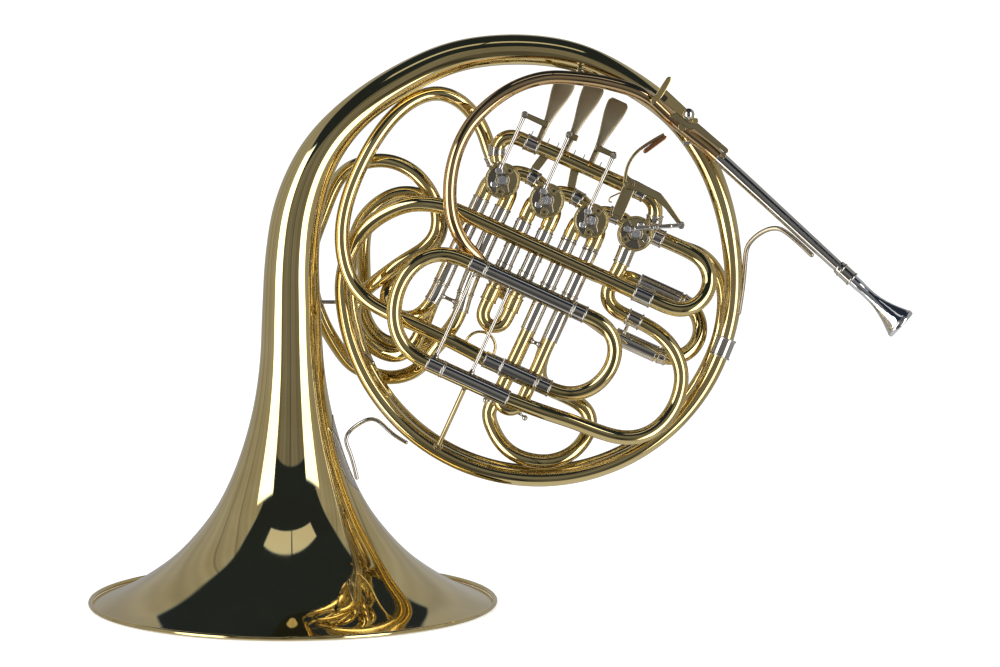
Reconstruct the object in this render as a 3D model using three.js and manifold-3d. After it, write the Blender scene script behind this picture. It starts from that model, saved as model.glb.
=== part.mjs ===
// A double french horn that stands on its bell, in millimetres, with +Z up and its back towards +Y.
// Tubes are thin shells, so the weight sits where it does on a real horn.
import * as THREE from "three";
import { mergeVertices } from "three/addons/utils/BufferGeometryUtils.js";
import Module from "manifold-3d";

const wasm = await Module();
wasm.setup();

// Body: the ring of tubing seen square on, and how far it leans back from the upright bell
const BODY_RADIUS = 155;
const BODY_LEAN = THREE.MathUtils.degToRad(7.9);
const LAYER = 10;
const WALL = 0.7;
const GAP = 0.3;

// The photograph's frame: the ring's radius and centre in pixels, and the slope of the valve row
const RING_PX = { radius: 204, column: 538, row: 283 };
const FIRST_VALVE_PX = { column: 502.5, row: 181.1 };
const ROW_SLOPE = THREE.MathUtils.degToRad(24.5);

// Tubing, outer radii
const BRANCH_RADIUS = 5.8;
const RING_TUBE_RADIUS = 6.4;
const SECOND_RING_RADIUS = 5.2;
const CROOK_RADIUS = 5.6;
const LEADPIPE_RADIUS = 5.2;
const LOOP_RADIUS = 5.3;
const SLEEVE_RADIUS = 6.7;
const LEG_RADIUS = 6.2;

// Bell
const MOUTH_RADIUS = 153;
const BELL_WALL = 0.9;
const RIM_RADIUS = 1.7;

// Valves, measured along the row (across), behind the ring plane (back) and square to the row (up)
const VALVE_PITCH = 36.8;
const CHANGE_VALVE_ACROSS = 108.3;
const CHANGE_VALVE_UP = 5.2;
const CASING = { radius: 13, wall: 2.2, front: -24, rear: 22, plate: 2, plateRadius: 12.2 };
const FRONT_LEVEL = -13;
const REAR_LEVEL = 11;
const PORT_OFFSET = 9;
const SPINDLE_RADIUS = 3;
const ROTOR_FLUTE = { radius: 5.6, offset: 6.2 };
const CAP = { thickness: 3, radius: 12.4, plug: 1.6 };
const STOP = { radius: 7.2, plate: 2.2, lift: 1, hub: 4.4, finger: 8.4, fingerRadius: 1.7 };
const SCREW = { radius: 1.15, head: 2.2, headThickness: 1 };
const BUMPER = { radius: 2, height: 2.4, orbit: 9, beyond: THREE.MathUtils.degToRad(33) };
const REST_ANGLE = THREE.MathUtils.degToRad(135);
const CHANGE_REST_ANGLE = THREE.MathUtils.degToRad(177.5);

// Linkage
const ROD = { length: 46.6, radius: 1.1, eye: 2.7, eyeThickness: 2.2 };
const CHANGE_ROD_LENGTH = 40.5;
const HINGE = { back: -8, up: 37.4, rodRadius: 1.5, hubRadius: 2.9, hubHalf: 4 };
const LEVER_ACROSS = [12.4, 34, 55.6];
const PADDLE = { thickness: 1.5, stem: 4, width: 16, lean: THREE.MathUtils.degToRad(12) };
const PADDLE_LENGTHS = [52, 58, 56.6];
const ARM = { thickness: 3, width: 4, tip: 2.3, tipThickness: 2.4 };
const SPRING = { wire: 0.4, radius: 2.6, pitch: 1.05, curls: 2, tail: 7 };

// Limits for the sections of a tube: how far it turns between two, and how far a chord may cut a bend
const TURN_STEP = THREE.MathUtils.degToRad(32);
const CHORD_ERROR = 0.9;
const FINE_STEPS = 24;
const RUN_INSET = 7;
const TUBE_SIDES = 8;

const pixelSize = BODY_RADIUS / RING_PX.radius;

const brass = new THREE.MeshStandardMaterial({ color: 0xc2a55a, roughness: 0.16, metalness: 1 });
const roseBrass = new THREE.MeshStandardMaterial({ color: 0xb98a5c, roughness: 0.18, metalness: 1 });
const nickel = new THREE.MeshStandardMaterial({ color: 0xb9b3a8, roughness: 0.2, metalness: 1 });
const silver = new THREE.MeshStandardMaterial({ color: 0xd4d4d2, roughness: 0.1, metalness: 1 });
const paddleMetal = new THREE.MeshStandardMaterial({ color: 0x8a7c60, roughness: 0.35, metalness: 1 });
const steel = new THREE.MeshStandardMaterial({ color: 0x9a9a9a, roughness: 0.3, metalness: 1 });

const horn = new THREE.Group();
const body = new THREE.Group();
horn.add(body);
body.rotation.x = -BODY_LEAN;

// A point of the body from its column and row in the photograph and its depth as a share of LAYER
function at(column, row, depthShare) {
  return new THREE.Vector3(
    (column - RING_PX.column) * pixelSize,
    depthShare * LAYER,
    (RING_PX.row - row) * pixelSize,
  );
}

// The same from a list of [column, row, depth share]
const route = (points) => points.map(([column, row, depthShare]) => at(column, row, depthShare));

// The valve row's own frame: along the row, back, and up square to the row
const rowOrigin = at(FIRST_VALVE_PX.column, FIRST_VALVE_PX.row, 0);
const alongRow = new THREE.Vector3(Math.cos(ROW_SLOPE), 0, -Math.sin(ROW_SLOPE));
const upRow = new THREE.Vector3(Math.sin(ROW_SLOPE), 0, Math.cos(ROW_SLOPE));

function onRow(across, back, up) {
  return rowOrigin
    .clone()
    .addScaledVector(alongRow, across)
    .addScaledVector(upRow, up)
    .add(new THREE.Vector3(0, back, 0));
}

const row = new THREE.Group();
row.position.copy(rowOrigin);
row.rotation.y = ROW_SLOPE;
body.add(row);

function add(parent, name, geometry, material) {
  const mesh = new THREE.Mesh(geometry, material);
  mesh.name = name;
  parent.add(mesh);
  return mesh;
}

// A closed geometry as a solid that can be joined and cut
function solid(geometry) {
  const plain = geometry.index ? geometry.toNonIndexed() : geometry.clone();
  plain.deleteAttribute("normal");
  plain.deleteAttribute("uv");
  const merged = mergeVertices(plain, 1e-4);
  return new wasm.Manifold(
    new wasm.Mesh({
      numProp: 3,
      vertProperties: new Float32Array(merged.attributes.position.array),
      triVerts: new Uint32Array(merged.index.array),
    }),
  );
}

function geometryOf(made) {
  const mesh = made.getMesh();
  return new THREE.BufferGeometry()
    .setAttribute("position", new THREE.BufferAttribute(mesh.vertProperties, 3))
    .setIndex(new THREE.BufferAttribute(mesh.triVerts, 1));
}

const unite = (pieces) => geometryOf(pieces.map(solid).reduce((sum, piece) => sum.add(piece)));
const cut = (piece, tools) =>
  geometryOf(tools.map(solid).reduce((left, tool) => left.subtract(tool), solid(piece)));

// Sections of a route: as few as keep the chords between them within CHORD_ERROR and turnStep,
// and one at each end of its straight runs
const runEnds = new Set();
function sections(points, turnStep = TURN_STEP) {
  const curve = new THREE.CatmullRomCurve3(points, false, "centripetal");
  const count = (points.length - 1) * FINE_STEPS;
  const fine = Array.from({ length: count + 1 }, (_, i) => curve.getPoint(i / count));
  const tangents = fine.map((_, i) => curve.getTangent(i / count));
  const near = new THREE.Vector3();
  const strays = (from, to) => {
    const chord = new THREE.Line3(fine[from], fine[to]);
    return fine
      .slice(from + 1, to)
      .some((point) => chord.closestPointToPoint(point, true, near).distanceTo(point) > CHORD_ERROR);
  };
  const picked = [0];
  for (let i = 2; i < count; i++) {
    const last = picked.at(-1);
    const turned = tangents[i].angleTo(tangents[last]) > turnStep;
    if (last < i - 1 && (turned || strays(last, i))) picked.push(i - 1);
    if (runEnds.has(points[i / FINE_STEPS])) picked.push(i);
  }
  picked.push(count);
  return {
    points: picked.map((i) => fine[i]),
    tangents: picked.map((i) => tangents[i]),
    places: picked.map((i) => i / count),
  };
}

// A curve that stands only at the sections of a route
class Stations extends THREE.Curve {
  constructor(points, turnStep) {
    super();
    const made = sections(points, turnStep);
    this.stops = made.points;
    this.directions = made.tangents;
    this.steps = made.points.length - 1;
  }
  getPointAt(share) {
    return this.stops[Math.round(share * this.steps)].clone();
  }
  getTangentAt(share) {
    return this.directions[Math.round(share * this.steps)].clone();
  }
}

// A tube along a route, with a bore unless its wall is as thick as its radius
function tube(points, radius, wall = WALL, sides = TUBE_SIDES, turnStep = TURN_STEP) {
  const outline = new THREE.Shape().absarc(0, 0, radius, 0, 2 * Math.PI);
  if (wall < radius) outline.holes.push(new THREE.Path().absarc(0, 0, radius - wall, 0, 2 * Math.PI));
  const path = new Stations(points, turnStep);
  return new THREE.ExtrudeGeometry(outline, {
    steps: path.steps,
    curveSegments: sides / 2,
    extrudePath: path,
  });
}

// A tube whose radius changes along its sections: outside, inside and two end rings in one closed skin
function taperedTube(centres, tangents, radii, wall, sides) {
  const positions = [];
  const triangles = [];
  let normal = new THREE.Vector3(0, 1, 0);
  const rings = centres.map((centre, i) => {
    const tangent = tangents[i];
    normal = normal.clone().addScaledVector(tangent, -normal.dot(tangent)).normalize();
    const side = tangent.clone().cross(normal);
    return { centre, normal, side, radius: radii[i] };
  });
  const addRing = (ring, radius) => {
    const first = positions.length / 3;
    for (let i = 0; i < sides; i++) {
      const angle = (2 * Math.PI * i) / sides;
      const point = ring.centre
        .clone()
        .addScaledVector(ring.normal, radius * Math.cos(angle))
        .addScaledVector(ring.side, radius * Math.sin(angle));
      positions.push(point.x, point.y, point.z);
    }
    return first;
  };
  const loop = [
    ...rings.map((ring) => addRing(ring, ring.radius)),
    ...rings.map((ring) => addRing(ring, ring.radius - wall)).reverse(),
  ];
  loop.forEach((first, i) => {
    const next = loop[(i + 1) % loop.length];
    for (let side = 0; side < sides; side++) {
      const other = (side + 1) % sides;
      triangles.push(first + side, first + other, next + other);
      triangles.push(first + side, next + other, next + side);
    }
  });
  return new THREE.BufferGeometry()
    .setAttribute("position", new THREE.Float32BufferAttribute(positions, 3))
    .setIndex(triangles);
}

// A lathe round a line along +Y that starts at `start`; the profile is [radius, distance] pairs
function turned(profile, sides, start = new THREE.Vector3(), direction = new THREE.Vector3(0, 1, 0)) {
  const geometry = new THREE.LatheGeometry(
    profile.map(([radius, distance]) => new THREE.Vector2(radius, distance)),
    sides,
  );
  geometry.applyQuaternion(
    new THREE.Quaternion().setFromUnitVectors(new THREE.Vector3(0, 1, 0), direction.clone().normalize()),
  );
  return geometry.translate(start.x, start.y, start.z);
}

const pin = (radius, length, start, direction, sides = 8) =>
  turned([[0, 0], [radius, 0], [radius, length], [0, length]], sides, start, direction);

function block(width, depth, height, centre) {
  return new THREE.BoxGeometry(width, depth, height).translate(centre.x, centre.y, centre.z);
}

const spot = (x, y, z) => new THREE.Vector3(x, y, z);

// A plate cut from an outline of [across, up] points, its front face at `front`
function plate(outline, front, thickness, holes = []) {
  const shape = new THREE.Shape(outline.map(([x, z]) => new THREE.Vector2(x, z)));
  holes.forEach(([x, z, radius]) =>
    shape.holes.push(new THREE.Path().absarc(x, z, radius, 0, 2 * Math.PI)),
  );
  return new THREE.ExtrudeGeometry(shape, { depth: thickness, bevelEnabled: false, curveSegments: 5 })
    .rotateX(Math.PI / 2)
    .translate(0, front + thickness, 0);
}

// Points on a circle round the ring's centre; angles run clockwise from the right, as the photograph shows it
function ringArc(radius, from, to, depthShare, count) {
  return Array.from({ length: count }, (_, i) => {
    const angle = THREE.MathUtils.degToRad(from + ((to - from) * i) / (count - 1));
    return new THREE.Vector3(radius * Math.cos(angle), depthShare * LAYER, -radius * Math.sin(angle));
  });
}

// A straight run inside a route: two more points near its ends keep the curve from swinging out of line
function straight(from, to) {
  const share = RUN_INSET / from.distanceTo(to);
  runEnds.add(from).add(to);
  return [from, from.clone().lerp(to, share), to.clone().lerp(from, share), to];
}

// A half turn in the row's frame between two legs of a slide
function halfTurn(start, end, bulge, count) {
  const middle = start.clone().add(end).multiplyScalar(0.5);
  const reach = start.clone().sub(middle);
  return Array.from({ length: count }, (_, i) => {
    const angle = (Math.PI * i) / (count - 1);
    return middle
      .clone()
      .addScaledVector(reach, Math.cos(angle))
      .addScaledVector(bulge, Math.sin(angle));
  });
}

// A tapered tube through a route, with the radius at each share of its length given by a function
function taperedAlong(points, radiusAt, wall = WALL) {
  const made = sections(points);
  return taperedTube(
    made.points,
    made.tangents,
    made.places.map(radiusAt),
    wall,
    TUBE_SIDES,
  );
}

// Bell: a flare round an upright axis, then a tail that curves over into the body ring
const MOUTH_PX = { column: 292, row: 604 };
const MOUTH_BACK = 22;
const BELL_SIDES = 24;
const bellUp = new THREE.Vector3(0, -Math.sin(BODY_LEAN), Math.cos(BODY_LEAN));
const mouthCentre = at(MOUTH_PX.column, MOUTH_PX.row, MOUTH_BACK / LAYER);

// Height and radius as shares of the mouth's radius
const FLARE_SHARES = [
  [0, 1], [0.035, 0.9], [0.075, 0.815], [0.14, 0.71], [0.23, 0.59], [0.34, 0.485],
  [0.48, 0.38], [0.68, 0.283], [0.95, 0.2], [1.2, 0.16], [1.47, 0.146],
];
// Column, row and depth share of the tail's middle, and its radius in pixels
const TAIL_PX_SHARES = [
  [293, 256, -1.47, 26.8], [300, 206, -1.7, 24.6], [321, 154, -1.75, 20.8], [356, 113, -1.6, 17.4],
  [406, 79, -1.4, 16.4], [457, 57, -1.2, 15.6], [520, 50, -0.92, 15.2], [577.5, 58, -0.7, 14.3],
  [632, 84, -0.47, 12.7], [674.6, 117, -0.3, 11.6], [706, 161, -0.15, 10.8], [724.5, 210, -0.05, 10],
  [733, 262, 0, 9.2], [732.9, 300, 0, 8.8], [729, 325, 0, 8.6],
];
const JOINT_DEGREES = 19.2;
const jointArc = ringArc(BODY_RADIUS - RING_TUBE_RADIUS, JOINT_DEGREES, JOINT_DEGREES + 0.1, 0, 2);
const jointWay = jointArc[1].clone().sub(jointArc[0]).normalize();

function bell() {
  const stops = FLARE_SHARES.map(([heightShare, radiusShare]) => ({
    centre: mouthCentre.clone().addScaledVector(bellUp, heightShare * MOUTH_RADIUS + GAP),
    radius: radiusShare * MOUTH_RADIUS,
  }));
  TAIL_PX_SHARES.forEach(([column, rowPx, depthShare, radiusPx]) =>
    stops.push({ centre: at(column, rowPx, depthShare), radius: radiusPx * pixelSize }),
  );
  stops.push({ centre: jointArc[0], radius: RING_TUBE_RADIUS });
  const tangents = stops.map((stop, i) => {
    if (i < FLARE_SHARES.length) return bellUp.clone();
    if (i === stops.length - 1) return jointWay.clone();
    return stops[i + 1].centre.clone().sub(stops[i - 1].centre).normalize();
  });
  return taperedTube(
    stops.map((stop) => stop.centre),
    tangents,
    stops.map((stop) => stop.radius),
    BELL_WALL,
    BELL_SIDES,
  );
}

function bellRim() {
  const inner = MOUTH_RADIUS + GAP;
  const section = [
    [inner, 0], [inner + RIM_RADIUS, 0], [inner + 1.7 * RIM_RADIUS, 0.6 * RIM_RADIUS],
    [inner + 1.7 * RIM_RADIUS, 1.4 * RIM_RADIUS], [inner + RIM_RADIUS, 2 * RIM_RADIUS],
    [inner, 2 * RIM_RADIUS], [inner, 0],
  ];
  return turned(section, 2 * BELL_SIDES, mouthCentre, bellUp);
}

add(body, "bell", bell(), brass);
add(body, "bell_rim", bellRim(), brass);

// Ring ferrule: a collar over the joint of bell tail and long branch
const FERRULE = { length: 13, wall: 0.8 };
function ringFerrule() {
  const inner = RING_TUBE_RADIUS + 4 * GAP;
  const outer = inner + FERRULE.wall;
  const half = FERRULE.length / 2;
  const section = [[inner, -half], [outer, -half], [outer, half], [inner, half], [inner, -half]];
  return turned(section, 16, jointArc[0], jointWay);
}
add(body, "ring_ferrule", ringFerrule(), nickel);

// Long branch: the straight run in front of the slides, then round the ring to the ferrule
const STRAIGHT = { up: -35.2, back: -25.5, right: 134.8, left: -20 };
const LONG_BRANCH_PX_SHARES = [
  [441, 206.5, -2.45], [412, 204.5, -1.9], [385, 214, -1.2], [363, 231, -0.6], [350, 251, -0.25],
];
add(
  body,
  "long_branch",
  taperedAlong(
    [
      ...straight(
        onRow(STRAIGHT.right - GAP, STRAIGHT.back, STRAIGHT.up),
        onRow(STRAIGHT.left, STRAIGHT.back, STRAIGHT.up),
      ),
      ...route(LONG_BRANCH_PX_SHARES),
      ...ringArc(BODY_RADIUS - RING_TUBE_RADIUS, 180, JOINT_DEGREES + 0.5, 0, 10),
    ],
    (share) => THREE.MathUtils.lerp(BRANCH_RADIUS, RING_TUBE_RADIUS, share),
  ),
  brass,
);

// Change valve branch: out of the change valve, round the bend at the right and back to the straight run
const CHANGE_BEND = { across: 153.5, top: 9.7 };
const changeTop = (back) => onRow(CHANGE_BEND.across, back, CHANGE_BEND.top);
const changeLow = onRow(CHANGE_BEND.across, STRAIGHT.back, STRAIGHT.up);
const changeReach = alongRow.clone().multiplyScalar((CHANGE_BEND.top - STRAIGHT.up) / 2);
const changePort = (back) =>
  onRow(CHANGE_VALVE_ACROSS + CASING.radius + GAP, back, CHANGE_BEND.top);
add(
  body,
  "change_branch",
  tube(
    [
      changePort(FRONT_LEVEL),
      ...halfTurn(changeTop(FRONT_LEVEL - 3 * GAP), changeLow, changeReach, 7),
      onRow(STRAIGHT.right, STRAIGHT.back, STRAIGHT.up),
    ],
    BRANCH_RADIUS,
  ),
  brass,
);

// Legs under the valves: where each starts, clear of its casing
const legAcross = (valve, side) => valve * VALVE_PITCH + side * PORT_OFFSET;
function legStart(valve, side, level, radius) {
  const reach = Math.sqrt(CASING.radius ** 2 - (PORT_OFFSET - radius) ** 2) + GAP;
  return onRow(legAcross(valve, side), level, -reach);
}
const legPoint = (valve, side, level, up) => onRow(legAcross(valve, side), level, up);

// Second branch: from the back of the change valve round the ring, then over and back to the first valve
const SECOND_RING = { radius: 143.6, depthShare: 1.4, start: 14 };
const SECOND_START_PX_SHARES = [[683, 247, 1.2], [702, 254, 1.3], [716, 268, 1.4], [724, 290, 1.4]];
const SECOND_END_PX_SHARES = [
  [352, 250, 1.4], [360, 222, 1.4], [378, 202, 1.4], [400, 192, 1.4], [420, 194, 1.4],
  [435, 203, 1.4], [441, 215, 1.4], [440, 235, 1.4], [427, 252, 1.5], [408, 268, 1.6],
  [392, 281, 1.8], [385, 297, 1.5], [391, 311, 0.8], [405, 316, 0], [418, 311, -0.7],
  [428, 300, -1.2], [441, 283, -1.3],
];
add(
  body,
  "second_branch",
  tube(
    [
      changePort(REAR_LEVEL),
      ...route(SECOND_START_PX_SHARES),
      ...ringArc(SECOND_RING.radius, SECOND_RING.start, 180, SECOND_RING.depthShare, 8),
      ...route(SECOND_END_PX_SHARES),
      legStart(0, -1, FRONT_LEVEL, SECOND_RING_RADIUS),
    ],
    SECOND_RING_RADIUS,
  ),
  brass,
);

// Long loop: from the front right port of the first valve, behind the bell and back to its rear left port
const LONG_LOOP_RADIUS = 5.4;
const LONG_LOOP_PX_SHARES = [
  [487, 241, -1.3], [465, 294, -1.3], [463, 313, -1.3], [452, 339, -1.1], [434, 353, -0.4],
  [421, 366, 0.5], [409, 374, 1.4], [389, 378, 2.25], [375, 375, 2.65], [352, 366, 2.7],
  [335, 345, 2.7], [321, 320, 2.6], [311, 288, 2.4], [309, 255, 2.2], [320, 220, 1.8],
  [343, 172, 1.2], [369, 161, 0.8], [391, 161, 0.5], [414, 172, 0.3], [430, 191, 0.2],
  [437, 208, 0.2], [437, 232, 0.2], [427, 246, 0.3], [402, 262, 0.5], [385, 274, 0.9],
  [370, 286, 1.7], [356, 299, 2.5], [353, 316, 2.6], [362, 338, 2.6], [380, 352, 2.4],
  [398, 356, 1.8], [415, 343, 1.3], [426, 318, 1.1], [433, 300, 1.1], [441, 283, 1.1],
];
add(
  body,
  "long_loop",
  tube(
    [
      legStart(0, 1, FRONT_LEVEL, LONG_LOOP_RADIUS),
      ...route(LONG_LOOP_PX_SHARES),
      legStart(0, -1, REAR_LEVEL, LONG_LOOP_RADIUS),
    ],
    LONG_LOOP_RADIUS,
  ),
  brass,
);

// Main tuning slide at the right
const MAIN_SLIDE = { low: -71.2, high: -26, left: 126.4, right: 161, frontBack: 4, rearBack: 20, legs: 25 };
const mainLow = (across) => onRow(across, MAIN_SLIDE.frontBack, MAIN_SLIDE.low);
const mainHigh = (across) => onRow(across, MAIN_SLIDE.rearBack, MAIN_SLIDE.high);
const SLEEVE_WALL = 0.5;
const SLEEVE_SIDES = 12;
const SLIDE_TUBE_RADIUS = (SLEEVE_RADIUS - SLEEVE_WALL) * Math.cos(Math.PI / SLEEVE_SIDES) - GAP;
const sleeve = (from, to, radius = SLEEVE_RADIUS) => tube([from, to], radius, SLEEVE_WALL, SLEEVE_SIDES);
const STAY_RADIUS = 1.45;
function rodBetween(from, to, radius, seat) {
  const way = to.clone().sub(from).normalize();
  const length = from.distanceTo(to) - 2 * seat;
  return pin(radius, length, from.clone().addScaledVector(way, seat), way);
}
const stayBetween = (from, to) => rodBetween(from, to, STAY_RADIUS, SLEEVE_RADIUS - 0.9 * WALL);
const MAIN_STAY_ACROSS = 142;
const BEND_START = 2;
add(
  body,
  "main_slide_sleeves",
  unite([
    sleeve(mainLow(MAIN_SLIDE.left), mainLow(MAIN_SLIDE.right)),
    sleeve(mainHigh(MAIN_SLIDE.left), mainHigh(MAIN_SLIDE.right)),
    stayBetween(mainLow(MAIN_STAY_ACROSS), mainHigh(MAIN_STAY_ACROSS)),
  ]),
  nickel,
);
const mainReach = alongRow.clone().multiplyScalar((MAIN_SLIDE.high - MAIN_SLIDE.low) / 2);
add(
  body,
  "main_slide_bow",
  tube(
    [
      ...straight(mainLow(MAIN_SLIDE.right - MAIN_SLIDE.legs), mainLow(MAIN_SLIDE.right + BEND_START)),
      ...halfTurn(
        mainLow(MAIN_SLIDE.right + BEND_START),
        mainHigh(MAIN_SLIDE.right + BEND_START),
        mainReach,
        7,
      ).slice(1, -1),
      ...straight(mainHigh(MAIN_SLIDE.right + BEND_START), mainHigh(MAIN_SLIDE.right - MAIN_SLIDE.legs)),
    ],
    SLIDE_TUBE_RADIUS,
  ),
  brass,
);

// Back crook: from the main slide behind the legs, round at the left and back to the first valve
const BACK_CROOK_RADIUS = 5.2;
const BACK_RUN = { back: 24, right: 84, left: -18 };
const BACK_CROOK_PX_SHARES = [
  [437, 205, 2.5], [418, 200, 2.5], [398, 200, 2.5], [380, 208, 2.55], [367, 222, 2.6],
  [363, 240, 2.8], [363, 286, 3.6], [361, 303, 3.6], [366, 322, 3.6], [377, 337, 3.4],
  [392, 343, 3], [412, 343, 2.6], [432, 333, 2.2], [446, 315, 1.5], [457, 300, 1.1],
  [466, 288, 1.1], [477, 262, 1.1],
];
add(
  body,
  "back_crook",
  tube(
    [
      mainHigh(MAIN_SLIDE.left - GAP),
      onRow(MAIN_SLIDE.left - LAYER, MAIN_SLIDE.rearBack, MAIN_SLIDE.high),
      onRow(MAIN_SLIDE.left - 2.6 * LAYER, BACK_RUN.back, STRAIGHT.up),
      ...straight(
        onRow(BACK_RUN.right, BACK_RUN.back, STRAIGHT.up),
        onRow(BACK_RUN.left, BACK_RUN.back, STRAIGHT.up),
      ),
      ...route(BACK_CROOK_PX_SHARES),
      legStart(0, 1, REAR_LEVEL, BACK_CROOK_RADIUS),
    ],
    BACK_CROOK_RADIUS,
  ),
  brass,
);

// Front tuning slides
const FRONT = { back: -37.5, up: -66.8, left: 3.3, right: 99.3, legs: 30 };
const LOWER = { up: -148.5, left: 5.2, right: 72.2 };
const MIDDLE = { back: -27.5, up: -128.5, left: 43.3, right: 98.1, radius: 7.1, wall: 0.6 };
const STAYS_ACROSS = [9.5, 39];
const RING_STAY = { radius: 1.9, foot: 3.2, footUp: -203, footThickness: 2.4 };
const upperAt = (across) => onRow(across, FRONT.back, FRONT.up);
const lowerAt = (across) => onRow(across, FRONT.back, LOWER.up);
const middleAt = (across) => onRow(across, MIDDLE.back, MIDDLE.up);

function frontSleeves() {
  const footFront = -RING_TUBE_RADIUS - GAP - RING_STAY.footThickness;
  const foot = onRow(STAYS_ACROSS[1], footFront, RING_STAY.footUp);
  const from = lowerAt(STAYS_ACROSS[1]);
  const way = foot.clone().sub(from).normalize();
  const seat = SLEEVE_RADIUS - 0.9 * WALL;
  return unite([
    sleeve(upperAt(FRONT.left), upperAt(FRONT.right)),
    sleeve(lowerAt(LOWER.left), lowerAt(LOWER.right)),
    ...STAYS_ACROSS.map((across) => stayBetween(upperAt(across), lowerAt(across))),
    pin(
      RING_STAY.radius,
      from.distanceTo(foot) - seat + 0.3 * RING_STAY.footThickness,
      from.clone().addScaledVector(way, seat),
      way,
    ),
    pin(RING_STAY.foot, RING_STAY.footThickness, foot),
  ]);
}
add(body, "front_slide_sleeves", frontSleeves(), nickel);

const LEFT_BOW_PX_SHARES = [
  [456, 257, -3.75], [441, 254.5, -3.75], [426, 258, -3.75], [411, 269, -3.75], [400, 287, -3.75],
  [395, 309, -3.75], [397, 330, -3.75], [405, 346, -3.75], [417, 356.5, -3.75],
];
add(
  body,
  "left_tuning_bow",
  tube(
    [
      ...straight(upperAt(FRONT.left + FRONT.legs), upperAt(FRONT.left - BEND_START)),
      ...route(LEFT_BOW_PX_SHARES),
      ...straight(lowerAt(LOWER.left - BEND_START), lowerAt(LOWER.left + FRONT.legs)),
    ],
    SLIDE_TUBE_RADIUS,
  ),
  brass,
);

const RIGHT_BOW_PX_SHARES = [
  [598, 321, -3.72], [608, 330, -3.65], [614, 343, -3.5], [613.5, 358, -3.35], [608, 371, -3.15],
  [597, 384, -2.95], [582, 392, -2.8], [566, 393.5, -2.75],
];
add(
  body,
  "right_tuning_bow",
  tube(
    [
      ...straight(upperAt(FRONT.right - FRONT.legs), upperAt(FRONT.right + BEND_START)),
      ...route(RIGHT_BOW_PX_SHARES),
      ...straight(middleAt(MIDDLE.right + BEND_START), middleAt(MIDDLE.right - FRONT.legs)),
    ],
    SLIDE_TUBE_RADIUS,
  ),
  brass,
);

// Inner crook: from the rear of the first valve over the left side to the middle sleeve
const INNER_CROOK_PX_SHARES = [
  [489, 149, 1], [485, 135, 0.9], [475, 116, 0.6], [458, 99.5, 0.2], [439, 93, -0.1],
  [419, 97.5, -0.5], [397, 113, -0.9], [377, 138, -1.2], [360, 169, -1.4], [349, 197, -1.5],
  [343, 225, -1.6], [343.5, 253, -1.7], [352, 281, -1.85], [369, 301, -2.05], [388, 312, -2.35],
  [406, 320, -2.6], [441, 336, -2.75],
];
const INNER_PORT_DEGREES = 137;
const valvePort = (across, up, degrees, level, radius) =>
  onRow(
    across + radius * Math.cos(THREE.MathUtils.degToRad(degrees)),
    level,
    up + radius * Math.sin(THREE.MathUtils.degToRad(degrees)),
  );
function innerCrook() {
  const made = sections([
    valvePort(0, 0, INNER_PORT_DEGREES, REAR_LEVEL, CASING.radius + 3 * GAP),
    ...route(INNER_CROOK_PX_SHARES),
    middleAt(MIDDLE.left - WALL),
  ]);
  const radii = made.places.map(() => CROOK_RADIUS);
  [MIDDLE.left, MIDDLE.right].forEach((across) => {
    made.points.push(middleAt(across));
    made.tangents.push(alongRow.clone());
    radii.push(MIDDLE.radius);
  });
  return taperedTube(made.points, made.tangents, radii, MIDDLE.wall, TUBE_SIDES);
}
add(body, "inner_crook", innerCrook(), brass);

// Tuning crook: from the foot of the change valve round the right to the lower sleeve
const TUNING_CROOK_PX_SHARES = [
  [619, 268, -1.3], [609, 286, -1.3], [606, 298, -1.3], [612, 308, -1.3], [632, 318.5, -1.3],
  [649, 327, -1.3], [664, 338, -1.35], [675, 353, -1.4], [681, 373, -1.5], [679, 392, -1.65],
  [671, 411, -1.85], [657, 427, -2.1], [639, 436, -2.4], [618, 436.5, -2.7], [596, 430, -3],
  [571, 420.5, -3.35], [545, 412, -3.65],
];
const TUNING_PORT_SHIFT = -1;
add(
  body,
  "tuning_crook",
  tube(
    [
      onRow(
        CHANGE_VALVE_ACROSS + TUNING_PORT_SHIFT,
        FRONT_LEVEL,
        CHANGE_VALVE_UP - CASING.radius - GAP,
      ),
      ...route(TUNING_CROOK_PX_SHARES),
      lowerAt(LOWER.right + GAP),
    ],
    CROOK_RADIUS,
  ),
  brass,
);

// Bridge tube over the levers, from the first valve to the change valve
const BRIDGE_RADIUS = 5.3;
const BRIDGE_PX_SHARES = [
  [496, 152, -1.35], [501, 140.5, -1.55], [512, 137, -1.65], [532, 145, -1.7], [556, 155, -1.7],
  [606, 177.5, -1.7], [628, 187.5, -1.7], [646, 196, -1.65], [655, 207, -1.45],
];
const BRIDGE_PORT = 9.5;
const bridgeReach = Math.sqrt(CASING.radius ** 2 - (BRIDGE_PORT - BRIDGE_RADIUS) ** 2) + GAP;
add(
  body,
  "bridge_tube",
  tube(
    [
      onRow(-BRIDGE_PORT, FRONT_LEVEL, bridgeReach),
      ...route(BRIDGE_PX_SHARES),
      onRow(CHANGE_VALVE_ACROSS + BRIDGE_PORT, FRONT_LEVEL, CHANGE_VALVE_UP + bridgeReach + 4 * GAP),
    ],
    BRIDGE_RADIUS,
  ),
  brass,
);

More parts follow.
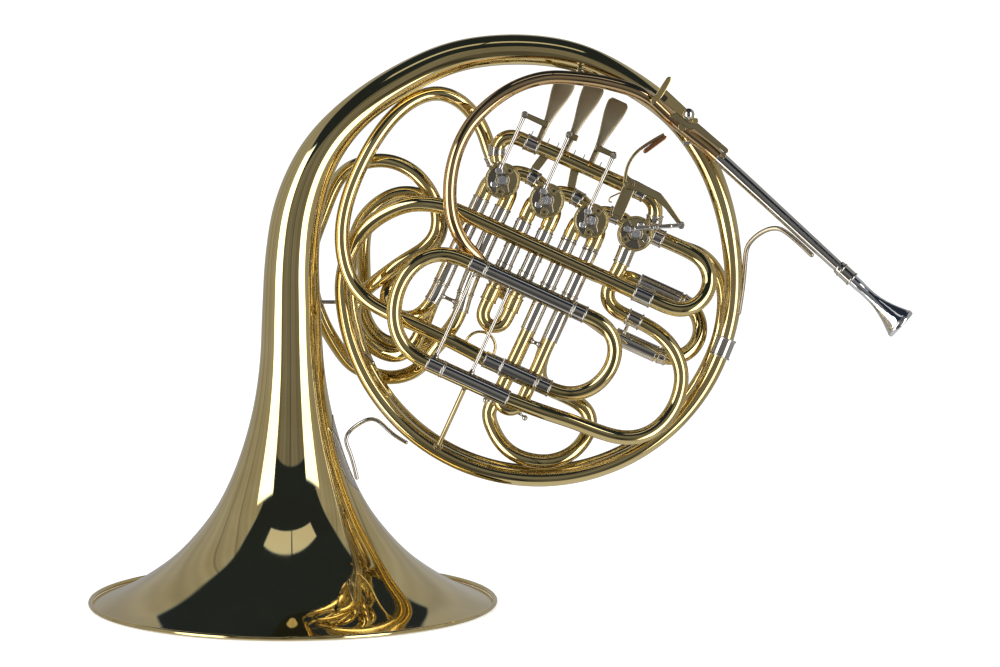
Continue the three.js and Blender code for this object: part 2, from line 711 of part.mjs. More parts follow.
// Bottom crook: the rear legs of the third valve and the loop below them
const BOTTOM_CROOK_PX_SHARES = [
  [488, 412, 1.1], [492, 427, 1.1], [500, 442, 0.9], [513, 454, 0.55], [531, 460.5, 0.35],
  [551, 461.5, 0.35], [571, 454, 0.55], [584, 441, 0.9], [591, 425, 1.1], [588, 411, 1.1], [577, 402, 1.1],
];
add(
  body,
  "bottom_crook",
  tube(
    [
      legStart(2, -1, REAR_LEVEL, CROOK_RADIUS),
      legPoint(2, -1, REAR_LEVEL, -145),
      ...route(BOTTOM_CROOK_PX_SHARES),
      onRow(104, REAR_LEVEL, -129),
      onRow(91, REAR_LEVEL, -128),
      onRow(legAcross(2, 1) + 2.5, REAR_LEVEL, -120),
      legPoint(2, 1, REAR_LEVEL, -108),
      legStart(2, 1, REAR_LEVEL, CROOK_RADIUS),
    ],
    CROOK_RADIUS,
  ),
  brass,
);

// Rear bow of the second valve
const SECOND_REAR_UP = -68;
const bowReach = upRow.clone().multiplyScalar(-PORT_OFFSET);
add(
  body,
  "second_valve_rear_bow",
  tube(
    [
      legStart(1, -1, REAR_LEVEL, CROOK_RADIUS),
      ...halfTurn(
        legPoint(1, -1, REAR_LEVEL, SECOND_REAR_UP),
        legPoint(1, 1, REAR_LEVEL, SECOND_REAR_UP),
        bowReach,
        6,
      ),
      legStart(1, 1, REAR_LEVEL, CROOK_RADIUS),
    ],
    CROOK_RADIUS,
  ),
  brass,
);

// Front slides of the second and third valves
const LEG_BRACE_SHARE = 0.82;
const LEG_SLIDE_RADIUS = (LEG_RADIUS - SLEEVE_WALL) * Math.cos(Math.PI / SLEEVE_SIDES) - GAP;
const SECOND_SLIDE = { end: -74, bow: -90, inside: 26 };
const THIRD_SLIDE = { end: -95.5, bow: -147, inside: 34 };
const PULL_RING = { back: FRONT_LEVEL, up: -121.5, radius: 11.4, wire: 1.1, stem: 1.6 };
const KNOB = { radius: 2.2, stem: 1.1, out: 7.3, down: -9.5 };

function legSleeves(valve, end) {
  const legs = [-1, 1].map((side) =>
    sleeve(legStart(valve, side, FRONT_LEVEL, LEG_RADIUS), legPoint(valve, side, FRONT_LEVEL, end), LEG_RADIUS),
  );
  const braceAt = (side) => legPoint(valve, side, FRONT_LEVEL, end * LEG_BRACE_SHARE);
  const brace = rodBetween(braceAt(-1), braceAt(1), STAY_RADIUS, LEG_RADIUS - 0.9 * SLEEVE_WALL);
  return unite([...legs, brace]);
}

function legBow(valve, slide) {
  const leg = (side, up) => legPoint(valve, side, FRONT_LEVEL, up);
  return tube(
    [
      ...straight(leg(-1, slide.end + slide.inside), leg(-1, slide.end - BEND_START)),
      ...halfTurn(leg(-1, slide.bow), leg(1, slide.bow), bowReach, 6),
      ...straight(leg(1, slide.end - BEND_START), leg(1, slide.end + slide.inside)),
    ],
    LEG_SLIDE_RADIUS,
  );
}

add(body, "second_valve_sleeves", legSleeves(1, SECOND_SLIDE.end), nickel);
add(body, "third_valve_sleeves", legSleeves(2, THIRD_SLIDE.end), nickel);

// The second valve's bow carries a pull ring below it
function pullRing() {
  const centre = onRow(VALVE_PITCH, PULL_RING.back, PULL_RING.up);
  const ring = new THREE.TorusGeometry(PULL_RING.radius, PULL_RING.wire, 6, 16)
    .rotateX(Math.PI / 2)
    .translate(centre.x, centre.y, centre.z);
  const bottom = SECOND_SLIDE.bow - PORT_OFFSET - 0.6 * LEG_SLIDE_RADIUS;
  const length = bottom - PULL_RING.up - PULL_RING.radius + PULL_RING.wire;
  const stem = pin(PULL_RING.stem, length, onRow(VALVE_PITCH, FRONT_LEVEL, bottom), upRow.clone().negate());
  return [ring, stem];
}
add(body, "second_valve_bow", unite([legBow(1, SECOND_SLIDE), ...pullRing()]), brass);

function ball(radius, centre) {
  return new THREE.SphereGeometry(radius, 8, 6).translate(centre.x, centre.y, centre.z);
}

function pullKnobs() {
  const corner = PORT_OFFSET * Math.SQRT1_2;
  return [-1, 1].flatMap((side) => {
    const root = onRow(2 * VALVE_PITCH + side * corner, FRONT_LEVEL, THIRD_SLIDE.bow - corner);
    const tip = onRow(
      2 * VALVE_PITCH + side * (PORT_OFFSET + KNOB.out),
      FRONT_LEVEL,
      THIRD_SLIDE.bow + KNOB.down,
    );
    const way = tip.clone().sub(root).normalize();
    root.addScaledVector(way, 0.7 * LEG_SLIDE_RADIUS);
    return [pin(KNOB.stem, root.distanceTo(tip), root, way, 6), ball(KNOB.radius, tip)];
  });
}
add(body, "third_valve_bow", unite([legBow(2, THIRD_SLIDE), ...pullKnobs()]), brass);

// Leadpipe with the mouthpiece receiver, the rose brass loop behind it and the mouthpiece
const LEADPIPE_START_PX = [717, 157, -1.8];
const LEADPIPE_END_PX = [851, 280, -2];
const MOUTHPIECE_END_PX = [900.5, 325.5, -2];
const RECEIVER = { length: 12, radius: 6, pipe: 4.3, wall: 0.7 };
const [leadStart, leadEnd, mouthEnd] = route([LEADPIPE_START_PX, LEADPIPE_END_PX, MOUTHPIECE_END_PX]);
const leadWay = leadEnd.clone().sub(leadStart).normalize();
function leadpipe() {
  const alongLead = (distance) => leadEnd.clone().addScaledVector(leadWay, -distance);
  const stops = [
    [alongLead(leadStart.distanceTo(leadEnd) - GAP), LEADPIPE_RADIUS],
    [alongLead(1.12 * RECEIVER.length), RECEIVER.pipe],
    [alongLead(RECEIVER.length), RECEIVER.radius],
    [alongLead(0), RECEIVER.radius],
  ];
  return taperedTube(
    stops.map(([centre]) => centre),
    stops.map(() => leadWay.clone()),
    stops.map(([, radius]) => radius),
    RECEIVER.wall,
    12,
  );
}
add(body, "leadpipe", leadpipe(), nickel);

const LEAD_LOOP_PX_SHARES = [
  [690, 135, -1.9], [672, 121, -2.2], [644, 97, -2.7], [606, 84.5, -3], [575, 80, -3.05],
  [548, 79, -3.1], [521, 86, -3.1], [498, 99, -3.1], [475, 120, -3.1], [460, 145, -3.4], [452, 172, -3.7],
  [450, 198, -3.75], [453, 221, -3.65], [462, 241, -3.2], [470, 251, -2.8], [479, 259, -2.55],
];
const LEAD_RUN = { back: -25, left: 14, right: 96 };
const LEAD_END_PX_SHARES = [[600, 326, -1]];
add(
  body,
  "leadpipe_loop",
  tube(
    [
      leadStart,
      leadStart.clone().addScaledVector(leadWay, -LAYER),
      ...route(LEAD_LOOP_PX_SHARES),
      ...straight(
        onRow(LEAD_RUN.left, LEAD_RUN.back, FRONT.up),
        onRow(LEAD_RUN.right, LEAD_RUN.back, FRONT.up),
      ),
      ...route(LEAD_END_PX_SHARES),
      mainLow(MAIN_SLIDE.left - LAYER / 2),
      mainLow(MAIN_SLIDE.left - GAP),
    ],
    LEADPIPE_RADIUS,
  ),
  roseBrass,
);

const MOUTHPIECE = { shank: 4.8, end: 4.4, insert: 11, bore: 2, cup: 12.5, neck: 4.9, throat: 1.6, lip: 8.6 };
function mouthpiece() {
  const length = leadEnd.distanceTo(mouthEnd);
  const { shank, end, insert, bore, cup, neck, throat, lip } = MOUTHPIECE;
  return turned(
    [
      [bore, -insert], [end, -insert], [shank, 0], [neck, 0.25 * length], [neck, 0.52 * length],
      [0.7 * cup, 0.74 * length], [0.94 * cup, 0.9 * length], [cup, 0.93 * length], [cup, 0.98 * length],
      [0.92 * cup, length], [lip, length], [0.8 * lip, 0.94 * length], [throat, 0.6 * length],
      [throat, 0.3 * length], [bore, -insert],
    ],
    16,
    leadEnd.clone(),
    leadWay,
  );
}
add(body, "mouthpiece", mouthpiece(), silver);

// Valves, drawn in the row's frame
const halfPi = Math.PI / 2;
const screwAt = (rest) => [STOP.radius * Math.cos(rest), STOP.radius * Math.sin(rest)];
const VALVES = [
  { name: "first", across: 0, up: 0, rest: REST_ANGLE, turn: halfPi, topUp: ROD.length },
  { name: "second", across: VALVE_PITCH, up: 0, rest: REST_ANGLE, turn: halfPi },
  { name: "third", across: 2 * VALVE_PITCH, up: 0, rest: REST_ANGLE, turn: halfPi },
  { name: "change", across: CHANGE_VALVE_ACROSS, up: CHANGE_VALVE_UP, rest: CHANGE_REST_ANGLE, turn: -halfPi },
];
const CROSSOVER = { startDegrees: 38, endDegrees: 142, lastEndDegrees: 150, start: 12, up: 12.4, lastUp: 13.5 };
const VALVE_SIDES = 16;
const SPINDLE_HOLE = 3.5;

function crossover(index) {
  const from = VALVES[index];
  const to = VALVES[index + 1];
  const last = index === 2;
  const end = last ? CROSSOVER.lastEndDegrees : CROSSOVER.endDegrees;
  const polar = (valve, radius, degrees) => {
    const angle = THREE.MathUtils.degToRad(degrees);
    return spot(
      valve.across + radius * Math.cos(angle),
      FRONT_LEVEL,
      valve.up + radius * Math.sin(angle),
    );
  };
  const middle = spot(
    (from.across + to.across) / 2,
    FRONT_LEVEL,
    last ? CROSSOVER.lastUp : CROSSOVER.up,
  );
  return tube(
    [
      polar(from, CROSSOVER.start, CROSSOVER.startDegrees),
      middle,
      polar(to, CASING.radius + 2 * GAP, end),
    ],
    BRIDGE_RADIUS,
  );
}

function casing(index) {
  const valve = VALVES[index];
  const length = CASING.rear - CASING.front;
  const shell = turned(
    [
      [SPINDLE_HOLE, -CASING.plate], [CASING.plateRadius, -CASING.plate], [CASING.plateRadius, 0],
      [CASING.radius, 0], [CASING.radius, length], [CASING.radius - CASING.wall, length],
      [CASING.radius - CASING.wall, 0], [SPINDLE_HOLE, 0], [SPINDLE_HOLE, -CASING.plate],
    ],
    VALVE_SIDES,
    spot(valve.across, CASING.front, valve.up),
  );
  const rests = [valve.rest + Math.PI, valve.rest + Math.PI + valve.turn];
  const outwards = Math.sign(valve.turn) * BUMPER.beyond;
  const bumpers = [rests[0] - outwards, rests[1] + outwards].map((angle) =>
    pin(
      BUMPER.radius,
      BUMPER.height + 0.3 * CASING.plate,
      spot(
        valve.across + BUMPER.orbit * Math.cos(angle),
        CASING.front - CASING.plate - BUMPER.height,
        valve.up + BUMPER.orbit * Math.sin(angle),
      ),
    ),
  );
  const pieces = [shell, ...bumpers];
  if (index < 3) pieces.push(crossover(index));
  const whole = unite(pieces);
  if (index === 3) return whole;
  const bore = pin(
    CASING.radius - CASING.wall,
    length,
    spot(valve.across, CASING.front, valve.up),
    undefined,
    VALVE_SIDES,
  );
  return cut(whole, [bore]);
}

const rotorRadius = (CASING.radius - CASING.wall) * Math.cos(Math.PI / VALVE_SIDES) - 1.3 * GAP;
const rotorFront = CASING.front + 1.5 * GAP;
const rotorRear = CASING.rear - CAP.plug - 1.5 * GAP;
function rotor(valve) {
  const start = CASING.front - CASING.plate - 2 * GAP;
  const made = turned(
    [
      [0, 0], [SPINDLE_RADIUS, 0], [SPINDLE_RADIUS, rotorFront - start], [rotorRadius, rotorFront - start],
      [rotorRadius, rotorRear - start], [0, rotorRear - start],
    ],
    VALVE_SIDES,
    spot(valve.across, start, valve.up),
  );
  const flutes = [FRONT_LEVEL, REAR_LEVEL].map((level, i) =>
    pin(
      ROTOR_FLUTE.radius,
      3 * CASING.radius,
      spot(valve.across - 1.5 * CASING.radius, level, valve.up + (2 * i - 1) * ROTOR_FLUTE.offset),
      spot(1, 0, 0),
      6,
    ),
  );
  return cut(made, flutes);
}

// Stop arm: hub, a lug with the rod's screw on one side and the stop finger on the other
const ARM_FRONT = CASING.front - CASING.plate - STOP.lift - STOP.plate;
const EYE_FRONT = ARM_FRONT - 2 * ROD.eyeThickness + 0.4;
function stopArm(valve) {
  const [x, z] = screwAt(valve.rest);
  const centre = (dx, dz, front) => spot(valve.across + dx, front, valve.up + dz);
  const bar = block(STOP.radius + STOP.finger, STOP.plate, 1.8 * STOP.fingerRadius, spot(0, 0, 0))
    .translate((STOP.radius - STOP.finger) / 2, 0, 0)
    .rotateY(-valve.rest)
    .translate(valve.across, ARM_FRONT + STOP.plate / 2, valve.up);
  const fingerShare = -STOP.finger / STOP.radius;
  return unite([
    pin(STOP.hub, STOP.plate, centre(0, 0, ARM_FRONT), undefined, 10),
    bar,
    pin(2 * SCREW.radius, STOP.plate, centre(x, z, ARM_FRONT)),
    pin(STOP.fingerRadius, STOP.plate, centre(x * fingerShare, z * fingerShare, ARM_FRONT)),
    pin(SCREW.radius, ARM_FRONT - EYE_FRONT + STOP.plate / 2, centre(x, z, EYE_FRONT - GAP)),
    pin(SCREW.head, SCREW.headThickness, centre(x, z, EYE_FRONT - GAP - SCREW.headThickness)),
  ]);
}

function cap(valve) {
  return turned(
    [
      [0, -CAP.plug], [rotorRadius, -CAP.plug], [rotorRadius, GAP], [CAP.radius, GAP],
      [0.92 * CAP.radius, CAP.thickness], [0, CAP.thickness],
    ],
    VALVE_SIDES,
    spot(valve.across, CASING.rear, valve.up),
  );
}

// Connecting rod between the stop arm's screw and the lever's arm
function rod(from, to) {
  const way = to.clone().sub(from).normalize();
  const eyes = [from, to].map((end) => pin(ROD.eye, ROD.eyeThickness, end));
  const middle = spot(0, ROD.eyeThickness / 2, 0);
  const link = pin(
    ROD.radius,
    from.distanceTo(to) - ROD.eye,
    from.clone().add(middle).addScaledVector(way, ROD.eye / 2),
    way,
    6,
  );
  const hole = pin(SCREW.radius + 1.5 * GAP, 3 * ROD.eyeThickness, from.clone().sub(middle).sub(middle));
  return cut(unite([...eyes, link]), [hole]);
}

VALVES.forEach((valve, index) => {
  add(row, `${valve.name}_valve_casing`, casing(index), brass);
  add(row, `${valve.name}_valve_rotor`, rotor(valve), brass);
  add(row, `${valve.name}_valve_stop_arm`, stopArm(valve), nickel);
  add(row, `${valve.name}_valve_cap`, cap(valve), brass);
});

// A screw of the change valve's linkage and the places of the thumb lever, from the photograph
const inRow = (column, rowPx) => {
  const offset = at(column, rowPx, 0).sub(rowOrigin);
  return [offset.dot(alongRow), offset.dot(upRow)];
};
const THUMB_TIP_PX = [680, 226];
const [thumbAcross, thumbUp] = inRow(...THUMB_TIP_PX);

VALVES.forEach((valve, index) => {
  const [x, z] = screwAt(valve.rest);
  const from = spot(valve.across + x, EYE_FRONT, valve.up + z);
  const to =
    index < 3 ? spot(from.x, EYE_FRONT, from.z + ROD.length) : spot(thumbAcross, EYE_FRONT, thumbUp);
  add(row, `${valve.name}_valve_rod`, rod(from, to), nickel);
});

// Finger levers on one hinge rod
const PADDLE_OUTLINE_SHARES = [
  [0.04, 0.27], [0.34, 0.27], [0.5, 0.42], [0.68, 0.72], [0.84, 0.95], [0.95, 1], [1, 0.86],
];
const ARM_UP = 51.7;
const REACH_ACROSS = [12.4, 36.9, 55.6];
function fingerLever(index) {
  const across = LEVER_ACROSS[index];
  const rodAcross = index * VALVE_PITCH + screwAt(REST_ANGLE)[0];
  const half = PADDLE.width / 2;
  const length = PADDLE_LENGTHS[index];
  const side = (sign) =>
    PADDLE_OUTLINE_SHARES.map(([lengthShare, widthShare]) => [sign * widthShare * half, lengthShare * length]);
  const blade = plate([...side(1), ...side(-1).reverse()], -PADDLE.thickness / 2, PADDLE.thickness)
    .rotateX(-PADDLE.lean)
    .translate(across, HINGE.back, HINGE.up);
  const hub = turned(
    [
      [HINGE.rodRadius + 2 * GAP, -HINGE.hubHalf], [HINGE.hubRadius, -HINGE.hubHalf],
      [HINGE.hubRadius, HINGE.hubHalf], [HINGE.rodRadius + 2 * GAP, HINGE.hubHalf],
      [HINGE.rodRadius + 2 * GAP, -HINGE.hubHalf],
    ],
    10,
    spot(across, HINGE.back, HINGE.up),
    spot(1, 0, 0),
  );
  const stemBack = HINGE.back + (ARM_UP - HINGE.up) * Math.tan(PADDLE.lean);
  const tipFront = EYE_FRONT - GAP - SCREW.headThickness - ARM.tipThickness;
  const tipBack = tipFront + ARM.tipThickness;
  const reach = block(
    ARM.width,
    stemBack - tipFront,
    ARM.thickness,
    spot(REACH_ACROSS[index], (stemBack + tipFront) / 2, ARM_UP),
  );
  const barEnd = REACH_ACROSS[index] + (Math.sign(REACH_ACROSS[index] - rodAcross) * ARM.width) / 2;
  const bar = block(
    Math.abs(rodAcross - barEnd),
    ARM.tipThickness,
    ARM.thickness,
    spot((rodAcross + barEnd) / 2, (tipFront + tipBack) / 2, ARM_UP),
  );
  const tip = pin(ARM.tip, ARM.tipThickness, spot(rodAcross, tipFront, ARM_UP));
  return unite([blade, hub, reach, bar, tip]);
}
VALVES.slice(0, 3).forEach((valve, index) =>
  add(row, `${valve.name}_finger_lever`, fingerLever(index), paddleMetal),
);

// Hinge rod of the finger levers with its two posts
const CRADLE = {
  left: 3, right: 68, thickness: 2.4, top: 2, foot: 3, footUps: [18.2, 16.6], rods: [23.2, 44.4], feet: [18.6, 49.6],
};
function leverCradle() {
  const posts = CRADLE.rods.map((across, i) =>
    plate(
      [
        [across - CRADLE.top, HINGE.up + CRADLE.top / 2], [across + CRADLE.top, HINGE.up + CRADLE.top / 2],
        [CRADLE.feet[i] + CRADLE.foot, CRADLE.footUps[i]], [CRADLE.feet[i] - CRADLE.foot, CRADLE.footUps[i]],
      ].reverse(),
      HINGE.back - CRADLE.thickness / 2,
      CRADLE.thickness,
    ),
  );
  const hinge = pin(
    HINGE.rodRadius,
    CRADLE.right - CRADLE.left,
    spot(CRADLE.left, HINGE.back, HINGE.up),
    spot(1, 0, 0),
    10,
  );
  return unite([hinge, ...posts]);
}
add(row, "lever_cradle", leverCradle(), nickel);

// One spring of each lever: a coil on either side of the hub, joined behind it, with both tails up
const COIL_TURN = THREE.MathUtils.degToRad(60);
const SPRING_INSET = 0.8;
function leverSpring(across) {
  const arc = (sign) =>
    Array.from({ length: 6 * SPRING.curls + 1 }, (_, i) => {
      const angle = COIL_TURN * i;
      return spot(
        across + sign * (HINGE.hubHalf + SPRING_INSET + (SPRING.pitch * i) / 6),
        HINGE.back + SPRING.radius * Math.cos(angle),
        HINGE.up + SPRING.radius * Math.sin(angle),
      );
    });
  const tail = (sign) => {
    const out = across + sign * (HINGE.hubHalf + SPRING_INSET + SPRING.pitch * SPRING.curls);
    return spot(out, HINGE.back + SPRING.radius, HINGE.up + SPRING.tail);
  };
  const behind = (sign) =>
    spot(
      across + sign * HINGE.hubHalf,
      HINGE.back + HINGE.hubRadius + SPRING.wire + 2 * GAP,
      HINGE.up - 2 * GAP,
    );
  return tube(
    [tail(-1), ...arc(-1).reverse(), behind(-1), behind(1), ...arc(1), tail(1)],
    SPRING.wire,
    SPRING.wire,
    4,
    COIL_TURN,
  );
}
LEVER_ACROSS.forEach((across, index) =>
  add(row, `${VALVES[index].name}_lever_spring`, leverSpring(across), steel),
);

// Thumb lever: a curved strip with its pad, the pivot plate and the arm to the change valve's rod
const THUMB = {
  front: -28, thickness: 2.4, stripFront: -31.6, stripDepth: 6, padFront: -35, padDepth: 16,
  tip: 2.6, boss: 2.2, post: 1.5, hole: 2.1, head: 2.7, headThickness: 1.4,
};
const THUMB_PIVOT_PX = [630, 185];
const THUMB_PLATE_PX = [
  [624.5, 171.5], [629, 178.5], [637, 182], [648, 188], [660, 194], [668, 204], [681.5, 224],
  [678.5, 227.5], [664, 209], [655, 200.5], [644, 195.5], [634, 191.5], [625, 190], [622, 182],
];
const THUMB_STRIP_PX = [
  [622.6, 181], [622.6, 172], [628, 162.5], [635, 153.5], [642.5, 146.5], [643.7, 148], [636.7, 155],
  [630, 164], [625, 173], [625.2, 181],
];
const THUMB_PAD_PX = [
  [640, 148.6], [650, 140.5], [658, 135.5], [663.2, 134], [664.2, 136], [659, 138.2], [651.5, 142.8],
  [641.5, 150.8],
];
const [pivotAcross, pivotUp] = inRow(...THUMB_PIVOT_PX);
const platePx = (outline, front, thickness, holes) =>
  plate(outline.map(([column, rowPx]) => inRow(column, rowPx)).reverse(), front, thickness, holes);

add(
  row,
  "thumb_lever",
  cut(
    unite([
      platePx(THUMB_PLATE_PX, THUMB.front, THUMB.thickness),
      platePx(THUMB_STRIP_PX, THUMB.stripFront, THUMB.stripDepth),
      platePx(THUMB_PAD_PX, THUMB.padFront, THUMB.padDepth),
      pin(THUMB.tip, THUMB.thickness, spot(thumbAcross, THUMB.front, thumbUp)),
      pin(THUMB.boss, THUMB.thickness + GAP, spot(thumbAcross, EYE_FRONT + ROD.eyeThickness + 2 * GAP, thumbUp)),
    ]),
    [pin(THUMB.hole, 3 * THUMB.thickness, spot(pivotAcross, THUMB.front - THUMB.thickness, pivotUp))],
  ),
  paddleMetal,
);

// Bracket of the thumb lever, with its pivot screw, its foot on the tubing and the hooked wire
const BRACKET_PX = [[626, 178], [637, 183.5], [621.5, 219], [611, 214]];
const BRACKET = { front: -25.2, thickness: 2, footAcross: 90.2, footUp: 12.6, footWidth: 8, footHeight: 7, hookWire: 0.55 };
const HOOK_WIRE_PX_SHARES = [
  [622, 192.5, -2.42], [615, 195.5, -2.42], [609.5, 198.5, -2.42], [608.5, 202, -2.42], [611.5, 203, -2.42],
];
const rowPoint = (point) => {
  const offset = point.clone().sub(rowOrigin);
  return spot(offset.dot(alongRow), offset.y, offset.dot(upRow));
};
function thumbBracket() {
  const footBack = FRONT_LEVEL - BRIDGE_RADIUS - GAP;
  const postFront = THUMB.front - GAP - THUMB.headThickness;
  return unite([
    platePx(BRACKET_PX, BRACKET.front, BRACKET.thickness),
    block(
      BRACKET.footWidth,
      footBack - BRACKET.front - BRACKET.thickness / 2,
      BRACKET.footHeight,
      spot(
        BRACKET.footAcross,
        (footBack + BRACKET.front + BRACKET.thickness / 2) / 2,
        BRACKET.footUp,
      ),
    ),
    pin(THUMB.post, BRACKET.front - postFront + BRACKET.thickness / 2, spot(pivotAcross, postFront, pivotUp), undefined, 10),
    pin(THUMB.head, THUMB.headThickness, spot(pivotAcross, postFront, pivotUp), undefined, 10),
    tube(
      route(HOOK_WIRE_PX_SHARES).map(rowPoint),
      BRACKET.hookWire,
      BRACKET.hookWire,
      4,
      COIL_TURN,
    ),
  ]);
}
add(row, "thumb_bracket", thumbBracket(), nickel);

// Finger hook on its base bar, held by a clamp screw
const HOOK_BASE_PX = [
  [668, 118], [677, 111.5], [696, 124], [728, 151.5], [725, 155], [692, 129.5], [689, 131.5],
];
const HOOK_BASE = { front: -31.2, thickness: 2 };
const HOOK_FEET = [
  { column: 681, rowPx: 128.5, radius: 3, tubeBack: -21.2, tubeRadius: LEADPIPE_RADIUS },
  { column: 722, rowPx: 156, radius: 2.2, tubeBack: -18.4, tubeRadius: LEADPIPE_RADIUS },
];
const HOOK_SADDLE_PX = [[657, 100], [664, 90.5], [694, 118.5], [688.5, 125.5]];
const HOOK_BLADE_PX = [
  [648.5, 103], [655, 96.5], [661, 87], [666.5, 77.5], [669.5, 76.5], [670.3, 79], [664.5, 90], [658, 100.5], [651, 107],
];
const HOOK = { saddleThickness: 2, bladeFront: -47, bladeDepth: 15 };
const HOOK_SCREW_PX = [687, 116];
const HOOK_SCREW = { radius: 4.6, lift: 1.2, shank: 1.6 };

const bodyPlate = (outline, front, thickness) =>
  plate(
    outline.map(([column, rowPx]) => [at(column, rowPx, 0).x, at(column, rowPx, 0).z]).reverse(),
    front,
    thickness,
  );
const saddleFront = HOOK_BASE.front - GAP - HOOK.saddleThickness;

function hookBase() {
  const feet = HOOK_FEET.map((foot) => {
    const back = foot.tubeBack - foot.tubeRadius - GAP;
    const start = at(foot.column, foot.rowPx, 0);
    start.y = HOOK_BASE.front + HOOK_BASE.thickness / 2;
    return pin(foot.radius, back - start.y, start);
  });
  return unite([bodyPlate(HOOK_BASE_PX, HOOK_BASE.front, HOOK_BASE.thickness), ...feet]);
}
add(body, "hook_base", hookBase(), brass);
add(
  body,
  "finger_hook",
  unite([
    bodyPlate(HOOK_SADDLE_PX, saddleFront, HOOK.saddleThickness),
    bodyPlate(HOOK_BLADE_PX, HOOK.bladeFront, HOOK.bladeDepth),
  ]),
  brass,
);

function hookScrew() {
  const centre = at(...HOOK_SCREW_PX, 0);
  centre.y = saddleFront - GAP - HOOK_SCREW.lift - HOOK_SCREW.radius;
  const shank = centre.clone();
  return unite([
    ball(HOOK_SCREW.radius, centre),
    pin(HOOK_SCREW.shank, HOOK_SCREW.radius + HOOK_SCREW.lift, shank),
  ]);
}
add(body, "hook_screw", hookScrew(), nickel);

// Bent wire braces: leadpipe to ring, and ring to bell
const BRACE_WIRE = 1.9;
const LEAD_BRACE_PX_SHARES = [
  [814, 260, -1.95], [800, 247.5, -1.92], [788, 237, -1.9], [779, 230, -1.8], [769, 229, -1.4], [756, 236, -0.8],
  [747, 247, -0.2], [745, 264, 0], [745, 285, 0], [744, 316, 0],
];
const BELL_BRACE_PX_SHARES = [
  [436, 466, 0], [412, 450, 0], [391, 430.5, 0], [381, 421, 0], [371, 417.5, 0], [359, 420, 0.2], [350, 429, 0.5],
  [347.5, 443, 0.7], [351.4, 460, 0.8], [360, 484, 0.9],
];
add(body, "leadpipe_brace", tube(route(LEAD_BRACE_PX_SHARES), BRACE_WIRE, BRACE_WIRE), nickel);
add(body, "bell_brace", tube(route(BELL_BRACE_PX_SHARES), BRACE_WIRE, BRACE_WIRE), nickel);

// Stand the horn on its bell, centred
const extent = new THREE.Box3().setFromObject(horn, true);
const middle = extent.getCenter(new THREE.Vector3());
horn.position.set(-middle.x, -middle.y, -extent.min.z);

export default horn;
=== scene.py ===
"""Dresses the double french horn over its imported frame.

Every tube, slide, valve and lever is a smooth surface worked out with numpy on the same routes as the
frame, in the horn's own leaning body: +X to the right, +Y to the back and +Z up, in millimetres. Each
piece rides on the frame's body that it belongs to and stands for the frame's nodes that it covers.
"""

from __future__ import annotations

import logging
import math
from dataclasses import dataclass, field
from enum import Enum
from typing import Callable, Sequence

import bpy
import numpy as np
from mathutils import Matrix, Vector

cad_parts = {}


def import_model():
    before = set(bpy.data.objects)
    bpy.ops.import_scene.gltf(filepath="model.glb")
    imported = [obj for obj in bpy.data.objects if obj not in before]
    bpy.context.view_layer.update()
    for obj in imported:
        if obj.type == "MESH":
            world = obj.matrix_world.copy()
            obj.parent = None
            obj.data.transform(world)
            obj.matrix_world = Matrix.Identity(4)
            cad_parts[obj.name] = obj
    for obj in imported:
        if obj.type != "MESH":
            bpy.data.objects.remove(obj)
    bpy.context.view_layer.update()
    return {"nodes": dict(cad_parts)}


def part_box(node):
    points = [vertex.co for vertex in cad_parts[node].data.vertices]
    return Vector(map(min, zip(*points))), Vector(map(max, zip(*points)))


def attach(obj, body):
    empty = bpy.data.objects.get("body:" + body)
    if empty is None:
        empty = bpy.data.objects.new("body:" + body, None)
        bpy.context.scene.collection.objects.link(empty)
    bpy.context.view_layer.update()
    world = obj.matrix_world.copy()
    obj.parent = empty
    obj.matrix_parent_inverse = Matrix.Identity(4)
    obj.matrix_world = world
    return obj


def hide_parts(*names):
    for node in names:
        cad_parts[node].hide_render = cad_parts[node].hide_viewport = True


logging.basicConfig(level=logging.INFO, format="%(name)s: %(message)s")
log = logging.getLogger("horn")

Array = np.ndarray
Table = Sequence[Sequence[float]]
Colour = tuple[float, float, float]

MM = 0.001
RIGHT = np.array([1.0, 0.0, 0.0])
BACK = np.array([0.0, 1.0, 0.0])
UP = np.array([0.0, 0.0, 1.0])


# The horn's own frame


